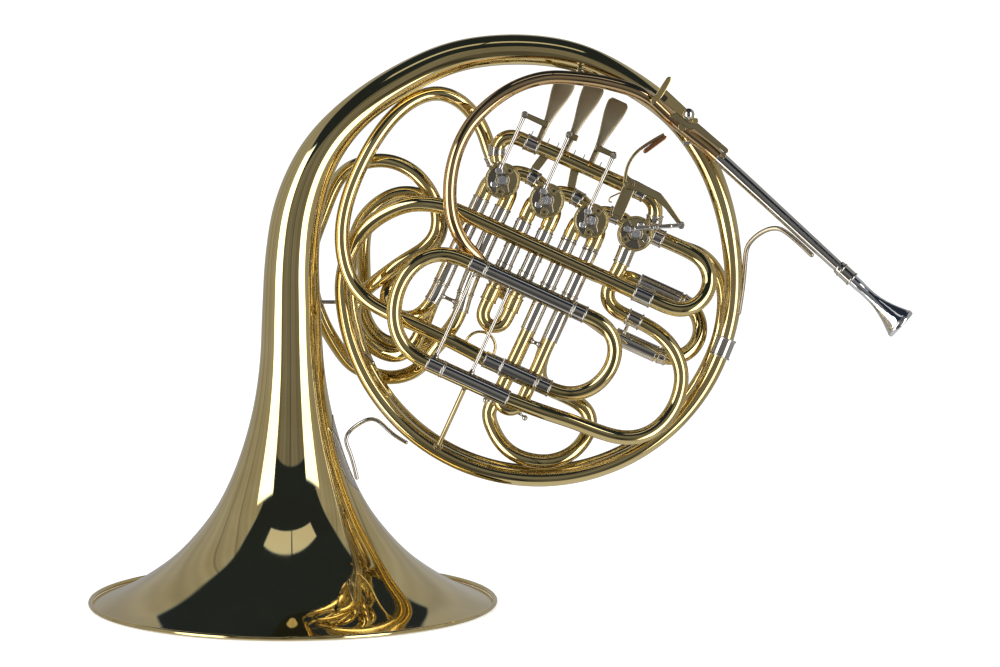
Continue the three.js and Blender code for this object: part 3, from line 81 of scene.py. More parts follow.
@dataclass(frozen=True)
class HornFrame:
    """The leaning body: the ring seen square on, the valve row and the upright bell axis."""

    ring_radius: float = 155.0
    ring_pixels: float = 204.0
    ring_column: float = 538.0
    ring_row: float = 283.0
    layer: float = 10.0
    lean: float = math.radians(7.9)
    row_slope: float = math.radians(24.5)
    valve_column: float = 502.5
    valve_row: float = 181.1
    mouth: tuple[float, float, float] = (292.0, 604.0, 2.2)

    @property
    def pixel(self) -> float:
        """Millimetres to a pixel of the photograph."""
        return self.ring_radius / self.ring_pixels

    @property
    def along_row(self) -> Array:
        """The valve row's direction, down to the right."""
        return np.array([math.cos(self.row_slope), 0.0, -math.sin(self.row_slope)])

    @property
    def up_row(self) -> Array:
        """The direction square to the valve row, in the ring's plane."""
        return np.array([math.sin(self.row_slope), 0.0, math.cos(self.row_slope)])

    @property
    def bell_up(self) -> Array:
        """The bell's upright axis."""
        return np.array([0.0, -math.sin(self.lean), math.cos(self.lean)])

    def at(self, places: Table) -> Array:
        """Points from columns, rows and depths.

        Args:
            places: Rows of column, row and depth as a share of the layer.

        Returns:
            One body point for each row.
        """
        table = np.atleast_2d(np.asarray(places, dtype=float))
        return np.stack(
            [
                (table[:, 0] - self.ring_column) * self.pixel,
                table[:, 2] * self.layer,
                (self.ring_row - table[:, 1]) * self.pixel,
            ],
            axis=1,
        )

    def on_row(self, across: float | Array, back: float | Array, up: float | Array) -> Array:
        """Points in the valve row's frame.

        Args:
            across: Distance along the row from the first valve.
            back: Distance behind the ring's plane.
            up: Distance square to the row.

        Returns:
            Body points, one for each place.
        """
        origin = self.spot(self.valve_column, self.valve_row)
        across, back, up = np.broadcast_arrays(across, back, up)
        return (
            origin
            + across[..., None] * self.along_row
            + up[..., None] * self.up_row
            + back[..., None] * BACK
        )

    def flat(self, table: Table, back: float = 0.0) -> Array:
        """Points from pairs of column and row, all at one distance behind the ring's plane."""
        return self.at([(column, row, 0.0) for column, row in table]) + BACK * back

    def spot(self, column: float, row: float, back: float = 0.0) -> Array:
        """One point from its column and row."""
        return self.flat([(column, row)], back)[0]

    def in_row(self, column: float, row: float) -> tuple[float, float]:
        """The place along and above the row of a pixel."""
        offset = self.spot(column, row) - self.on_row(0.0, 0.0, 0.0)
        return float(offset @ self.along_row), float(offset @ self.up_row)

    def ring_arc(self, radius: float, start: float, end: float, depth: float, count: int) -> Array:
        """Points on a circle round the ring's centre, by degrees clockwise from the right.

        Args:
            radius: The circle's radius.
            start: First angle in degrees.
            end: Last angle in degrees.
            depth: Depth as a share of the layer.
            count: How many points.

        Returns:
            The points in order.
        """
        angle = np.radians(np.linspace(start, end, count))
        flat = np.full(count, depth * self.layer)
        return np.stack([radius * np.cos(angle), flat, -radius * np.sin(angle)], axis=1)


HORN = HornFrame()


def unit(vectors: Array) -> Array:
    """Vectors scaled to length one."""
    return vectors / np.maximum(np.linalg.norm(vectors, axis=-1, keepdims=True), 1e-9)


def run(start: Array, end: Array, inset: float = 7.0) -> Array:
    """A straight run inside a route, held straight by two more points near its ends."""
    way = unit(end - start)
    return np.stack([start, start + way * inset, end - way * inset, end])


def half_turn(start: Array, end: Array, bulge: Array, count: int) -> Array:
    """A half turn between two legs: the middle, plus the reach by the cosine, plus the bulge by the sine.

    Args:
        start: The end of the first leg.
        end: The start of the second leg.
        bulge: The way from the middle to the turn's top.
        count: How many points.

    Returns:
        The points in order.
    """
    middle = (start + end) / 2
    angle = np.linspace(0, math.pi, count)[:, None]
    return middle + (start - middle) * np.cos(angle) + bulge * np.sin(angle)


# Shapes


@dataclass
class Shell:
    """A mesh in body millimetres: its vertices and its faces."""

    vertices: Array
    faces: list[list[int]]


def joined(*shells: Shell) -> Shell:
    """Several meshes as one.

    Args:
        shells: The meshes, in order.

    Returns:
        The whole mesh.
    """
    shifts = np.cumsum([0] + [len(shell.vertices) for shell in shells])
    faces = [
        [index + int(shift) for index in face]
        for shell, shift in zip(shells, shifts)
        for face in shell.faces
    ]
    return Shell(np.concatenate([shell.vertices for shell in shells]), faces)


def grid_faces(rows: int, columns: int, loop: bool = False) -> Array:
    """Quads of a grid whose columns go round.

    Args:
        rows: Number of rings.
        columns: Points in each ring.
        loop: Whether the last ring joins the first.

    Returns:
        Four vertex numbers for each quad, turned outwards.
    """
    here = np.arange(rows if loop else rows - 1)[:, None]
    side = np.arange(columns)[None, :]
    over = (side + 1) % columns
    there = (here + 1) % rows
    corners = [here * columns + side, here * columns + over, there * columns + over, there * columns + side]
    return np.stack([np.broadcast_to(c, (len(here), columns)) for c in corners], axis=-1).reshape(-1, 4)


def rings(
    centres: Array,
    ways: Array,
    radii: Array,
    sides: int = 32,
    flat: Array | None = None,
    reference: Array | None = None,
    power: float = 1.0,
    loop: bool = False,
) -> Shell:
    """A skin through rings: centre + first radius * cos * side + second radius * sin * other side.

    Args:
        centres: The rings' centres.
        ways: The directions that the rings face.
        radii: The radius along the first side of each ring.
        sides: Points in each ring.
        flat: The radius along the other side, where the ring isn't round.
        reference: The direction that the first side keeps to.
        power: Below one, the ring fills out towards a rectangle.
        loop: Whether the last ring joins the first.

    Returns:
        The closed shell, with its ends capped unless it is a loop.
    """
    ways = unit(np.broadcast_to(ways, centres.shape))
    if reference is None:
        reference = BACK if np.abs(ways @ BACK).max() < 0.95 else RIGHT
    first = unit(reference - (ways @ reference)[:, None] * ways)
    second = np.cross(ways, first)
    angle = np.linspace(0, 2 * math.pi, sides, endpoint=False)
    cosine, sine = np.cos(angle), np.sin(angle)
    cosine = np.sign(cosine) * np.abs(cosine) ** power
    sine = np.sign(sine) * np.abs(sine) ** power
    other = radii if flat is None else flat
    points = (
        centres[:, None]
        + radii[:, None, None] * cosine[None, :, None] * first[:, None]
        + other[:, None, None] * sine[None, :, None] * second[:, None]
    )
    faces = grid_faces(len(centres), sides, loop).tolist()
    if not loop:
        last = (len(centres) - 1) * sides
        faces.append(list(range(sides))[::-1])
        faces.append(list(range(last, last + sides)))
    return Shell(points.reshape(-1, 3), faces)


def rounded(profile: Table, corner: float, steps: int = 4, closed: bool = False) -> Array:
    """Rounds a polyline's corners: each becomes a quadratic curve from just before to just after it.

    Args:
        profile: The polyline's points.
        corner: How far before and after each corner the curve starts and ends.
        steps: Points on each curve.
        closed: Whether the last point joins the first.

    Returns:
        The finer polyline.
    """
    points = np.asarray(profile, dtype=float)
    ring = np.concatenate([points[-1:], points, points[:1]]) if closed else points
    before, here, after = ring[:-2], ring[1:-1], ring[2:]
    into, out = here - before, after - here
    into_length = np.linalg.norm(into, axis=1, keepdims=True)
    out_length = np.linalg.norm(out, axis=1, keepdims=True)
    start = here - into * np.minimum(corner / np.maximum(into_length, 1e-9), 0.45)
    end = here + out * np.minimum(corner / np.maximum(out_length, 1e-9), 0.45)
    t = np.linspace(0, 1, steps)[None, :, None]
    curve = (1 - t) ** 2 * start[:, None] + 2 * t * (1 - t) * here[:, None] + t**2 * end[:, None]
    curve = curve.reshape(-1, points.shape[1])
    return curve if closed else np.concatenate([points[:1], curve, points[-1:]])


def spline(points: Array, fine: int = 16) -> Array:
    """A centripetal curve through points: a cubic on each span, with tangents from the roots of the chords.

    Args:
        points: The points, of any number of coordinates.
        fine: Steps on each span.

    Returns:
        Points along the curve.
    """
    ends = [2 * points[0] - points[1]], [2 * points[-1] - points[-2]]
    all_points = np.concatenate([ends[0], points, ends[1]])
    p0, p1, p2, p3 = (all_points[i : len(all_points) - 3 + i] for i in range(4))
    chords = np.linalg.norm(np.diff(all_points, axis=0), axis=1) ** 0.5
    chords = np.maximum(chords, 1e-3)[:, None]
    d0, d1, d2 = chords[:-2], chords[1:-1], chords[2:]
    t1 = d1 * ((p1 - p0) / d0 - (p2 - p0) / (d0 + d1) + (p2 - p1) / d1)
    t2 = d1 * ((p2 - p1) / d1 - (p3 - p1) / (d1 + d2) + (p3 - p2) / d2)
    t = np.linspace(0, 1, fine, endpoint=False)[None, :, None]
    a, b, c = p1[:, None], t1[:, None], (-3 * p1 + 3 * p2 - 2 * t1 - t2)[:, None]
    d = (2 * p1 - 2 * p2 + t1 + t2)[:, None]
    curve = a + b * t + c * t**2 + d * t**3
    return np.concatenate([curve.reshape(-1, points.shape[1]), points[-1:]])


def evenly(points: Array, spacing: float) -> Array:
    """The same line with its points at even distances.

    Args:
        points: The line's points, of any number of coordinates.
        spacing: The distance wanted between points.

    Returns:
        The new points.
    """
    steps = np.linalg.norm(np.diff(points, axis=0), axis=1)
    length = np.concatenate([[0], np.cumsum(steps)])
    count = max(int(round(length[-1] / spacing)), 2) + 1
    places = np.linspace(0, length[-1], count)
    return np.stack([np.interp(places, length, column) for column in points.T], axis=1)


def eased(points: Array, spread: float, spacing: float) -> Array:
    """Smooths an evenly spaced line with a bell-shaped average; its two ends stay where they are.

    Args:
        points: The line's points, of any number of coordinates.
        spread: The width of the bell shape.
        spacing: The distance between the points.

    Returns:
        As many points.
    """
    reach = int(3 * spread / spacing)
    if reach < 1 or len(points) < 4:
        return points
    reach = min(reach, len(points) - 1)
    offsets = np.arange(-reach, reach + 1) * spacing
    weights = np.exp(-0.5 * (offsets / spread) ** 2)
    weights /= weights.sum()
    front = 2 * points[0] - points[reach:0:-1]
    behind = 2 * points[-1] - points[-2 : -reach - 2 : -1]
    padded = np.concatenate([front, points, behind])
    return np.stack([np.convolve(column, weights, mode="valid") for column in padded.T], axis=1)


@dataclass
class Way:
    """A tube's centre line, with its points at even distances."""

    points: Array
    length: float = field(init=False)
    places: Array = field(init=False)

    def __post_init__(self) -> None:
        """Measures the line."""
        steps = np.linalg.norm(np.diff(self.points, axis=0), axis=1)
        self.places = np.concatenate([[0], np.cumsum(steps)])
        self.length = float(self.places[-1])

    @classmethod
    def through(cls, *stretches: Array, ease: float = 5.0, spacing: float = 2.0) -> "Way":
        """The line through stretches of points, one after the other.

        Args:
            stretches: Arrays of points.
            ease: How far the line is smoothed.
            spacing: Distance between its points.

        Returns:
            The line.
        """
        table = np.concatenate([np.atleast_2d(stretch) for stretch in stretches])
        line = evenly(spline(table), spacing / 2)
        return cls(evenly(eased(line, ease, spacing / 2), spacing))

    def at(self, places: float | Array) -> Array:
        """The points at distances along the line; past its ends it goes straight on.

        Args:
            places: One distance or several.

        Returns:
            One point for each.
        """
        places = np.atleast_1d(np.asarray(places, dtype=float))
        inside = np.clip(places, 0, self.length)
        points = self.between(inside, self.points)
        return points + (places - inside)[:, None] * self.heading(inside)

    def heading(self, places: float | Array) -> Array:
        """The directions of the line at distances along it.

        Args:
            places: One distance or several.

        Returns:
            One direction for each.
        """
        places = np.atleast_1d(np.asarray(places, dtype=float))
        tangents = unit(np.gradient(self.points, axis=0))
        inside = np.clip(places, 0, self.length)
        return unit(self.between(inside, tangents))

    def between(self, inside: Array, values: Array) -> Array:
        """Values of the line's points, read at distances between them."""
        return np.stack([np.interp(inside, self.places, column) for column in values.T], axis=1)

    def near(self, column: float, row: float) -> float:
        """The distance along the line of its point nearest to a pixel."""
        flat = (self.points - HORN.spot(column, row))[:, [0, 2]]
        return float(self.places[np.argmin((flat**2).sum(axis=1))])

    def skin(self, profile: Array, sides: int = 32) -> Shell:
        """A skin round the line.

        Args:
            profile: Pairs of distance along the line and radius.
            sides: Points in each ring.

        Returns:
            The closed shell.
        """
        return rings(self.at(profile[:, 0]), self.heading(profile[:, 0]), profile[:, 1], sides)

    def tube(self, radius: float, end_radius: float | None = None, sides: int = 32) -> Shell:
        """A tube along the whole line whose radius may change evenly.

        Args:
            radius: Its radius at the start.
            end_radius: Its radius at the end, where that differs.
            sides: Points in each ring.

        Returns:
            The closed shell.
        """
        last = radius if end_radius is None else end_radius
        radii = np.interp(self.places, [0, self.length], [radius, last])
        return rings(self.points, unit(np.gradient(self.points, axis=0)), radii, sides)


BEAD_POINTS = 7


def beaded(length: float, inner: float, outer: float, rise: float = 0.45, bead: float = 1.5) -> Array:
    """The profile of a ferrule: a wall between two half round beads.

    Args:
        length: The ferrule's length.
        inner: The radius that it sits on.
        outer: The wall's radius.
        rise: How far the beads stand above the wall.
        bead: The width of a bead.

    Returns:
        Pairs of distance from the middle and radius.
    """
    turn = np.linspace(0, math.pi, BEAD_POINTS)
    swell = np.stack([bead / 2 * (1 - np.cos(turn)), outer + rise * np.sin(turn)], axis=1)
    half = length / 2
    left = swell + [-half, 0]
    right = swell + [half - bead, 0]
    ends = np.array([[-half, inner], [half, inner]])
    return np.concatenate([ends[:1], left, right, ends[1:]])


def collar(
    way: Way, place: float, length: float, tube: float, rise: float = 0.9, bead: float = 0.45
) -> Shell:
    """A beaded ferrule round a tube.

    Args:
        way: The tube's line.
        place: Where the ferrule's middle is along the line.
        length: The ferrule's length.
        tube: The tube's radius.
        rise: How far the wall stands above the tube.
        bead: How far the beads stand above the wall.

    Returns:
        The ferrule, with more rings along its wall so that it bends with the tube.
    """
    profile = beaded(length, tube - 0.2, tube + rise, bead) + [place, 0]
    first_bead = 1 + BEAD_POINTS
    reach = length / 2 - 1.6
    wall = place + np.linspace(-reach, reach, max(int(length / 2), 2))
    bent = np.stack([wall, np.full(len(wall), tube + rise)], axis=1)
    return way.skin(np.concatenate([profile[:first_bead], bent, profile[first_bead:]]))


def held(profile: Array, reach: float = 0.12) -> Array:
    """Adds a point near both ends of each longer step, so that flats shade flat beside rounded edges.

    Args:
        profile: The profile's points.
        reach: How near the new points lie to the old ones.

    Returns:
        The profile with the new points.
    """
    steps = np.diff(profile, axis=0)
    lengths = np.linalg.norm(steps, axis=1)
    longer = lengths > 4 * reach
    near = np.where(longer, reach / np.maximum(lengths, 1e-9), 0.5)[:, None]
    points = np.stack([profile[:-1], profile[:-1] + near * steps, profile[1:] - near * steps], axis=1)
    keep = np.stack([np.ones_like(longer), longer, longer], axis=1)
    return np.concatenate([points[keep], profile[-1:]])


def turned(profile: Table, start: Array, way: Array, sides: int = 32, corner: float = 0.0) -> Shell:
    """A lathe round a line.

    Args:
        profile: Pairs of radius and distance along the line.
        start: Where the line starts.
        way: Its direction.
        sides: Points in each ring.
        corner: How far the profile's corners are rounded.

    Returns:
        The closed shell.
    """
    pairs = np.asarray(profile, dtype=float)
    if corner > 0:
        pairs = rounded(pairs, corner)
    pairs = held(pairs)
    way = unit(np.asarray(way, dtype=float))
    centres = start + pairs[:, 1:2] * way
    return rings(centres, way, np.maximum(pairs[:, 0], 0.02), sides)


def pin(
    radius: float, length: float, start: Array, way: Array, sides: int = 24, corner: float = 0.25
) -> Shell:
    """A round pin with softened edges.

    Args:
        radius: The pin's radius.
        length: The pin's length.
        start: The middle of its first end.
        way: The direction to its other end.
        sides: Points round it.
        corner: How far its edges are rounded.

    Returns:
        The pin.
    """
    corner = min(corner, 0.4 * radius, 0.4 * length)
    profile = [(0.3 * radius, 0), (radius, 0), (radius, length), (0.3 * radius, length)]
    return turned(profile, start, way, sides, corner)


def ball(radius: float, centre: Array, sides: int = 24) -> Shell:
    """A ball: rings whose radius is the sine and whose height is the cosine of an angle."""
    angle = np.linspace(0.06, math.pi - 0.06, sides // 2)
    return turned(np.stack([radius * np.sin(angle), -radius * np.cos(angle)], axis=1), centre, UP, sides)


def wire(points: Array, radius: float, sides: int = 16, ease: float = 1.5) -> Shell:
    """A bent wire whose ends are rounded: 1 - cosine along the wire, the sine as its radius.

    Args:
        points: Points that it passes through.
        radius: The wire's radius.
        sides: Points round it.
        ease: How far its line is smoothed.

    Returns:
        The wire.
    """
    way = Way.through(points, ease=ease, spacing=max(radius, 0.5))
    turn = np.linspace(0.15, math.pi / 2, 5)
    tip = radius * np.stack([1 - np.cos(turn), np.sin(turn)], axis=1)
    inner = way.places[(way.places > radius) & (way.places < way.length - radius)]
    middle = np.stack([inner, np.full(len(inner), radius)], axis=1)
    end = [way.length, 0] + tip[::-1] * [-1, 1]
    return way.skin(np.concatenate([tip, middle, end]), sides)


def hoop(
    radius: float, thickness: float, centre: Array, axis: Array, sides: int = 16, count: int = 96
) -> Shell:
    """A closed ring of round wire: centre + radius * (cos * side + sin * other side).

    Args:
        radius: From the centre to the wire's middle.
        thickness: The wire's radius.
        centre: The ring's centre.
        axis: The direction that the ring faces.
        sides: Points round the wire.
        count: Sections along the wire.

    Returns:
        The ring.
    """
    axis = unit(np.asarray(axis, dtype=float))
    first = unit(np.cross(axis, RIGHT if abs(axis @ RIGHT) < 0.9 else UP))
    second = np.cross(axis, first)
    angle = np.linspace(0, 2 * math.pi, count, endpoint=False)[:, None]
    centres = centre + radius * (first * np.cos(angle) + second * np.sin(angle))
    ways = second * np.cos(angle) - first * np.sin(angle)
    return rings(centres, ways, np.full(count, thickness), sides, reference=axis, loop=True)


Place = Callable[[Array, Array, Array], Array]


def plate(
    outline: Table, place: Place, front: float, thickness: float, corner: float = 1.0, edge: float = 0.35
) -> Shell:
    """A plate with softened edges: its outline is drawn in a little at both faces.

    Args:
        outline: Pairs of distance across and up.
        place: Turns across, back and up into body points.
        front: Where the front face lies.
        thickness: The plate's thickness.
        corner: How far the outline's corners are rounded.
        edge: The radius of the edge.

    Returns:
        The closed shell.
    """
    loop = rounded(outline, corner, closed=True)
    following = np.roll(loop, -1, axis=0)
    area = float(np.sum(loop[:, 0] * following[:, 1] - following[:, 0] * loop[:, 1]))
    if area < 0:
        loop = loop[::-1]
    along = unit(np.roll(loop, -1, axis=0) - np.roll(loop, 1, axis=0))
    inward = np.stack([-along[:, 1], along[:, 0]], axis=1)
    edge = min(edge, 0.45 * thickness)
    steps = [(0, 1.4), (0, 1), (0.3, 0.3), (1, 0)]
    levels = [(front + a * edge, b * edge) for a, b in steps]
    levels += [(front + thickness - a * edge, b * edge) for a, b in steps[::-1]]
    depths, insets = (np.array(column)[:, None] for column in zip(*levels))
    drawn = loop + inward * insets[..., None]
    points = place(drawn[..., 0], np.broadcast_to(depths, drawn.shape[:2]), drawn[..., 1])
    count = len(loop)
    faces = grid_faces(len(levels), count)[:, ::-1].tolist()
    faces.append(list(range(count)))
    last = (len(levels) - 1) * count
    faces.append(list(range(last, last + count))[::-1])
    return Shell(points.reshape(-1, 3), faces)


def in_body(across: Array, back: Array, up: Array) -> Array:
    """Points of the body's own axes."""
    return np.stack([across, back, up], axis=-1)


def cut(table: Table, front: float, thickness: float, corner: float, edge: float = 0.4) -> Shell:
    """A plate in the ring's plane from an outline in pixels.

    Args:
        table: Pairs of column and row.
        front: Where the front face lies.
        thickness: The plate's thickness.
        corner: How far the outline's corners are rounded.
        edge: The radius of the edge.

    Returns:
        The plate.
    """
    outline = HORN.flat(table)[:, [0, 2]]
    return plate(outline, in_body, front, thickness, corner, edge)


def circle(across: float, up: float, radius: float, count: int = 40) -> Array:
    """A round outline."""
    angle = np.linspace(0, 2 * math.pi, count, endpoint=False)
    return np.stack([across + radius * np.cos(angle), up + radius * np.sin(angle)], axis=1)


def slotted_head(
    across: float, up: float, radius: float, front: float, thickness: float, turn: float
) -> Shell:
    """A flat screw head: a disc below two half discs with a slot between them.

    Args:
        across: Its centre across.
        up: Its centre up.
        radius: The head's radius.
        front: Where its front face lies.
        thickness: Its whole thickness.
        turn: The slot's angle in degrees.

    Returns:
        The head.
    """
    slot = math.asin(0.17)
    arc = np.linspace(slot, math.pi - slot, 18)
    halves = []
    for side in (0.0, math.pi):
        angle = arc + side + math.radians(turn)
        outline = np.stack([across + radius * np.cos(angle), up + radius * np.sin(angle)], axis=1)
        halves.append(plate(outline, HORN.on_row, front, 0.45 * thickness, 0.1, 0.12))
    disc = circle(across, up, radius)
    base = plate(disc, HORN.on_row, front + 0.42 * thickness, 0.58 * thickness, 0.05, 0.1)
    return joined(*halves, base)


# Finishes


def operator(operation: str, swapped: bool = False) -> Callable[["Field", "Field | float"], "Field"]:
    """A method that puts a Math node on a field and another number.

    Args:
        operation: The Math node's operation.
        swapped: Whether the other number comes first.

    Returns:
        The method.
    """

    def result(self: "Field", other: "Field | float") -> "Field":
        """The number that the Math node gives."""
        return self.shader.math(operation, *((other, self) if swapped else (self, other)))

    return result


class Field:
    """A number on a socket; used in an expression, it adds its Math nodes."""

    def __init__(self, shader: "Shader", socket: bpy.types.NodeSocket) -> None:
        """Wraps a socket of a shader."""
        self.shader = shader
        self.socket = socket

    __add__ = __radd__ = operator("ADD")
    __mul__ = __rmul__ = operator("MULTIPLY")
    __sub__ = operator("SUBTRACT")
    __rsub__ = operator("SUBTRACT", swapped=True)
    __truediv__ = operator("DIVIDE")
    __rtruediv__ = operator("DIVIDE", swapped=True)
    larger = operator("MAXIMUM")

    def step(self, low: float, high: float) -> "Field":
        """A smooth step from nothing at low to one at high."""
        node = self.shader.add(
            "ShaderNodeMapRange",
            {"interpolation_type": "SMOOTHSTEP", "clamp": True},
            {"Value": self, "From Min": low, "From Max": high},
        )
        return Field(self.shader, node.outputs["Result"])

    def band(self, low: float, high: float, soft: float) -> "Field":
        """One between low and high, with soft borders."""
        return self.step(low - soft, low + soft) * (1 - self.step(high - soft, high + soft))


class Shader:
    """Adds nodes to one node tree."""

    def __init__(self, tree: bpy.types.NodeTree) -> None:
        """Empties the tree."""
        self.tree = tree
        tree.nodes.clear()

    def add(self, kind: str, settings: dict | None = None, inputs: dict | None = None) -> bpy.types.Node:
        """A node of one kind.

        Args:
            kind: The node's type.
            settings: Its properties, set first.
            inputs: Values or links of its sockets, by name or number.

        Returns:
            The node.
        """
        node = self.tree.nodes.new(kind)
        for name, value in (settings or {}).items():
            setattr(node, name, value)
        for name, value in (inputs or {}).items():
            self.feed(node.inputs[name], value)
        return node

    def feed(self, socket: bpy.types.NodeSocket, value: object) -> None:
        """Links a socket, or sets its value."""
        if isinstance(value, Field):
            value = value.socket
        if isinstance(value, bpy.types.NodeSocket):
            self.tree.links.new(value, socket)
        elif isinstance(value, tuple) and socket.type == "RGBA":
            socket.default_value = (*value, 1.0)
        else:
            socket.default_value = value

    def math(self, operation: str, *values: Field | float) -> Field:
        """A Math node."""
        node = self.add("ShaderNodeMath", {"operation": operation}, dict(enumerate(values)))
        return Field(self, node.outputs[0])

    def noise(self, place: bpy.types.NodeSocket, scale: float, detail: float, blur: float) -> Field:
        """A noise pattern from nothing to one."""
        inputs = {"Vector": place, "Scale": scale, "Detail": detail, "Roughness": blur}
        return Field(self, self.add("ShaderNodeTexNoise", None, inputs).outputs["Fac"])

    def rays(self) -> tuple[Field, Field]:
        """Whether a ray is the camera's or comes through glass, and whether it left a glossy surface."""
        outputs = self.add("ShaderNodeLightPath").outputs
        kinds = ("Camera", "Transmission", "Glossy")
        camera, glass, glossy = (Field(self, outputs[f"Is {kind} Ray"]) for kind in kinds)
        return camera.larger(glass), glossy

    def blend(self, share: Field | float, first: object, second: object) -> bpy.types.NodeSocket:
        """A colour between two."""
        node = self.add("ShaderNodeMix", {"data_type": "RGBA"}, {0: share, 6: first, 7: second})
        return node.outputs[2]


@dataclass(frozen=True)
class Metal:
    """A bare or lacquered metal: a tone that deepens in clouds, dulls in smears and freckles in spots."""

    name: str
    tone: Colour
    deep: Colour
    spot: Colour
    roughness: float
    dull: float = 0.1
    coat: float = 0.0
    coat_roughness: float = 0.04
    cloud_scale: float = 16.0
    freckle: float = 0.08
    ripple: float = 0.02
    scratch: float = 0.03
    metallic: float = 1.0

    def make(self) -> bpy.types.Material:
        """Builds the material on Object coordinates."""
        material = bpy.data.materials.new(self.name)
        material.use_nodes = True
        shader = Shader(material.node_tree)
        place = shader.add("ShaderNodeTexCoord").outputs["Object"]
        clouds = shader.noise(place, self.cloud_scale, 4.0, 0.55).step(0.36, 0.68)
        smears = shader.noise(place, 3.1 * self.cloud_scale, 5.0, 0.62).step(0.5, 0.74)
        freckles = shader.noise(place, 620.0, 2.0, 0.6).step(0.66, 0.8)
        grime = shader.noise(place, 7.0 * self.cloud_scale, 6.0, 0.7).step(0.56, 0.8)
        tone = shader.blend(clouds * 0.75, self.tone, self.deep)
        tone = shader.blend(freckles * self.freckle, tone, self.spot)
        tone = shader.blend(grime * 0.5 * self.freckle, tone, self.spot)
        stretch = shader.add("ShaderNodeMapping", None, {"Vector": place, "Scale": (1.0, 0.15, 3.2)})
        fine = shader.noise(stretch.outputs["Vector"], 900.0, 3.0, 0.7)
        waves = shader.noise(place, 55.0, 1.0, 0.4)
        height = fine * self.scratch + waves * self.ripple * 12.0
        bump = shader.add("ShaderNodeBump", None, {"Strength": 0.12, "Distance": 0.00012, "Height": height})
        inputs = {
            "Base Color": tone,
            "Metallic": self.metallic,
            "Roughness": smears * self.dull + grime * (0.5 * self.dull) + self.roughness,
            "Normal": bump.outputs["Normal"],
            "Coat Weight": self.coat,
            "Coat Roughness": self.coat_roughness,
        }
        surface = shader.add("ShaderNodeBsdfPrincipled", None, inputs)
        shader.add("ShaderNodeOutputMaterial", None, {"Surface": surface.outputs[0]})
        return material


class Finish(Enum):
    """The horn's finishes, each with the name of a material slot and its metal."""

    BRASS = ("lacquered_brass", Metal("lacquered brass", (0.74, 0.60, 0.285), (0.64, 0.49, 0.20),
                                      (0.36, 0.25, 0.09), 0.035, 0.05, 0.3))
    ROSE = ("rose_brass", Metal("rose brass", (0.70, 0.49, 0.26), (0.62, 0.42, 0.2),
                                (0.34, 0.2, 0.08), 0.045, 0.05, 0.3))
    NICKEL = ("nickel_silver", Metal("nickel silver", (0.62, 0.59, 0.54), (0.54, 0.50, 0.44),
                                     (0.3, 0.25, 0.18), 0.06, 0.08, 0.1))
    SILVER = ("silver_plate", Metal("silver plate", (0.84, 0.84, 0.84), (0.76, 0.76, 0.76),
                                    (0.4, 0.38, 0.34), 0.035, 0.05))
    # This is brass made darker in its colour to stand for the dark reflection on the paddles: painted shade.
    LEVER = ("lever_metal", Metal("lever brass with painted shade", (0.47, 0.40, 0.27), (0.41, 0.34, 0.215),
                                  (0.34, 0.27, 0.17), 0.4, 0.08))
    ARM = ("nickel_silver", Metal("worn nickel", (0.42, 0.36, 0.26), (0.34, 0.28, 0.19),
                                  (0.24, 0.19, 0.12), 0.3, 0.1))
    # This finish also fills the pale sectors of painted reflection on the stop plates.
    KHAKI = ("lever_metal", Metal("khaki bronze and painted reflection", (0.58, 0.48, 0.27), (0.42, 0.32, 0.15),
                                  (0.3, 0.22, 0.12), 0.14, 0.12, 0.05))
    STEEL = ("spring_steel", Metal("spring steel", (0.23, 0.21, 0.19), (0.14, 0.12, 0.1),
                                   (0.3, 0.2, 0.12), 0.3, 0.15))
    # This finish fills the sectors of painted shade on the stop plates and the dark ring round each arm's
    # screw.
    DARK = ("nickel_silver", Metal("dark ring and painted shade", (0.3, 0.27, 0.22), (0.2, 0.17, 0.13),
                                   (0.42, 0.36, 0.26), 0.22, 0.16))
    COPPER = ("lever_metal", Metal("worn copper", (0.62, 0.3, 0.13), (0.42, 0.18, 0.08),
                                   (0.25, 0.12, 0.06), 0.26, 0.14))
    # This near-black finish fills the bumpers and the painted shade of the finger hook's slot.
    BUMPER_AND_SHADE = ("", Metal("black bumper and painted shade", (0.02, 0.017, 0.013), (0.012, 0.01, 0.008),
                      (0.06, 0.045, 0.03), 0.75, 0.2, metallic=0.0, ripple=0.4, scratch=1.5))


# The bench: makes pieces and fits them to the frame


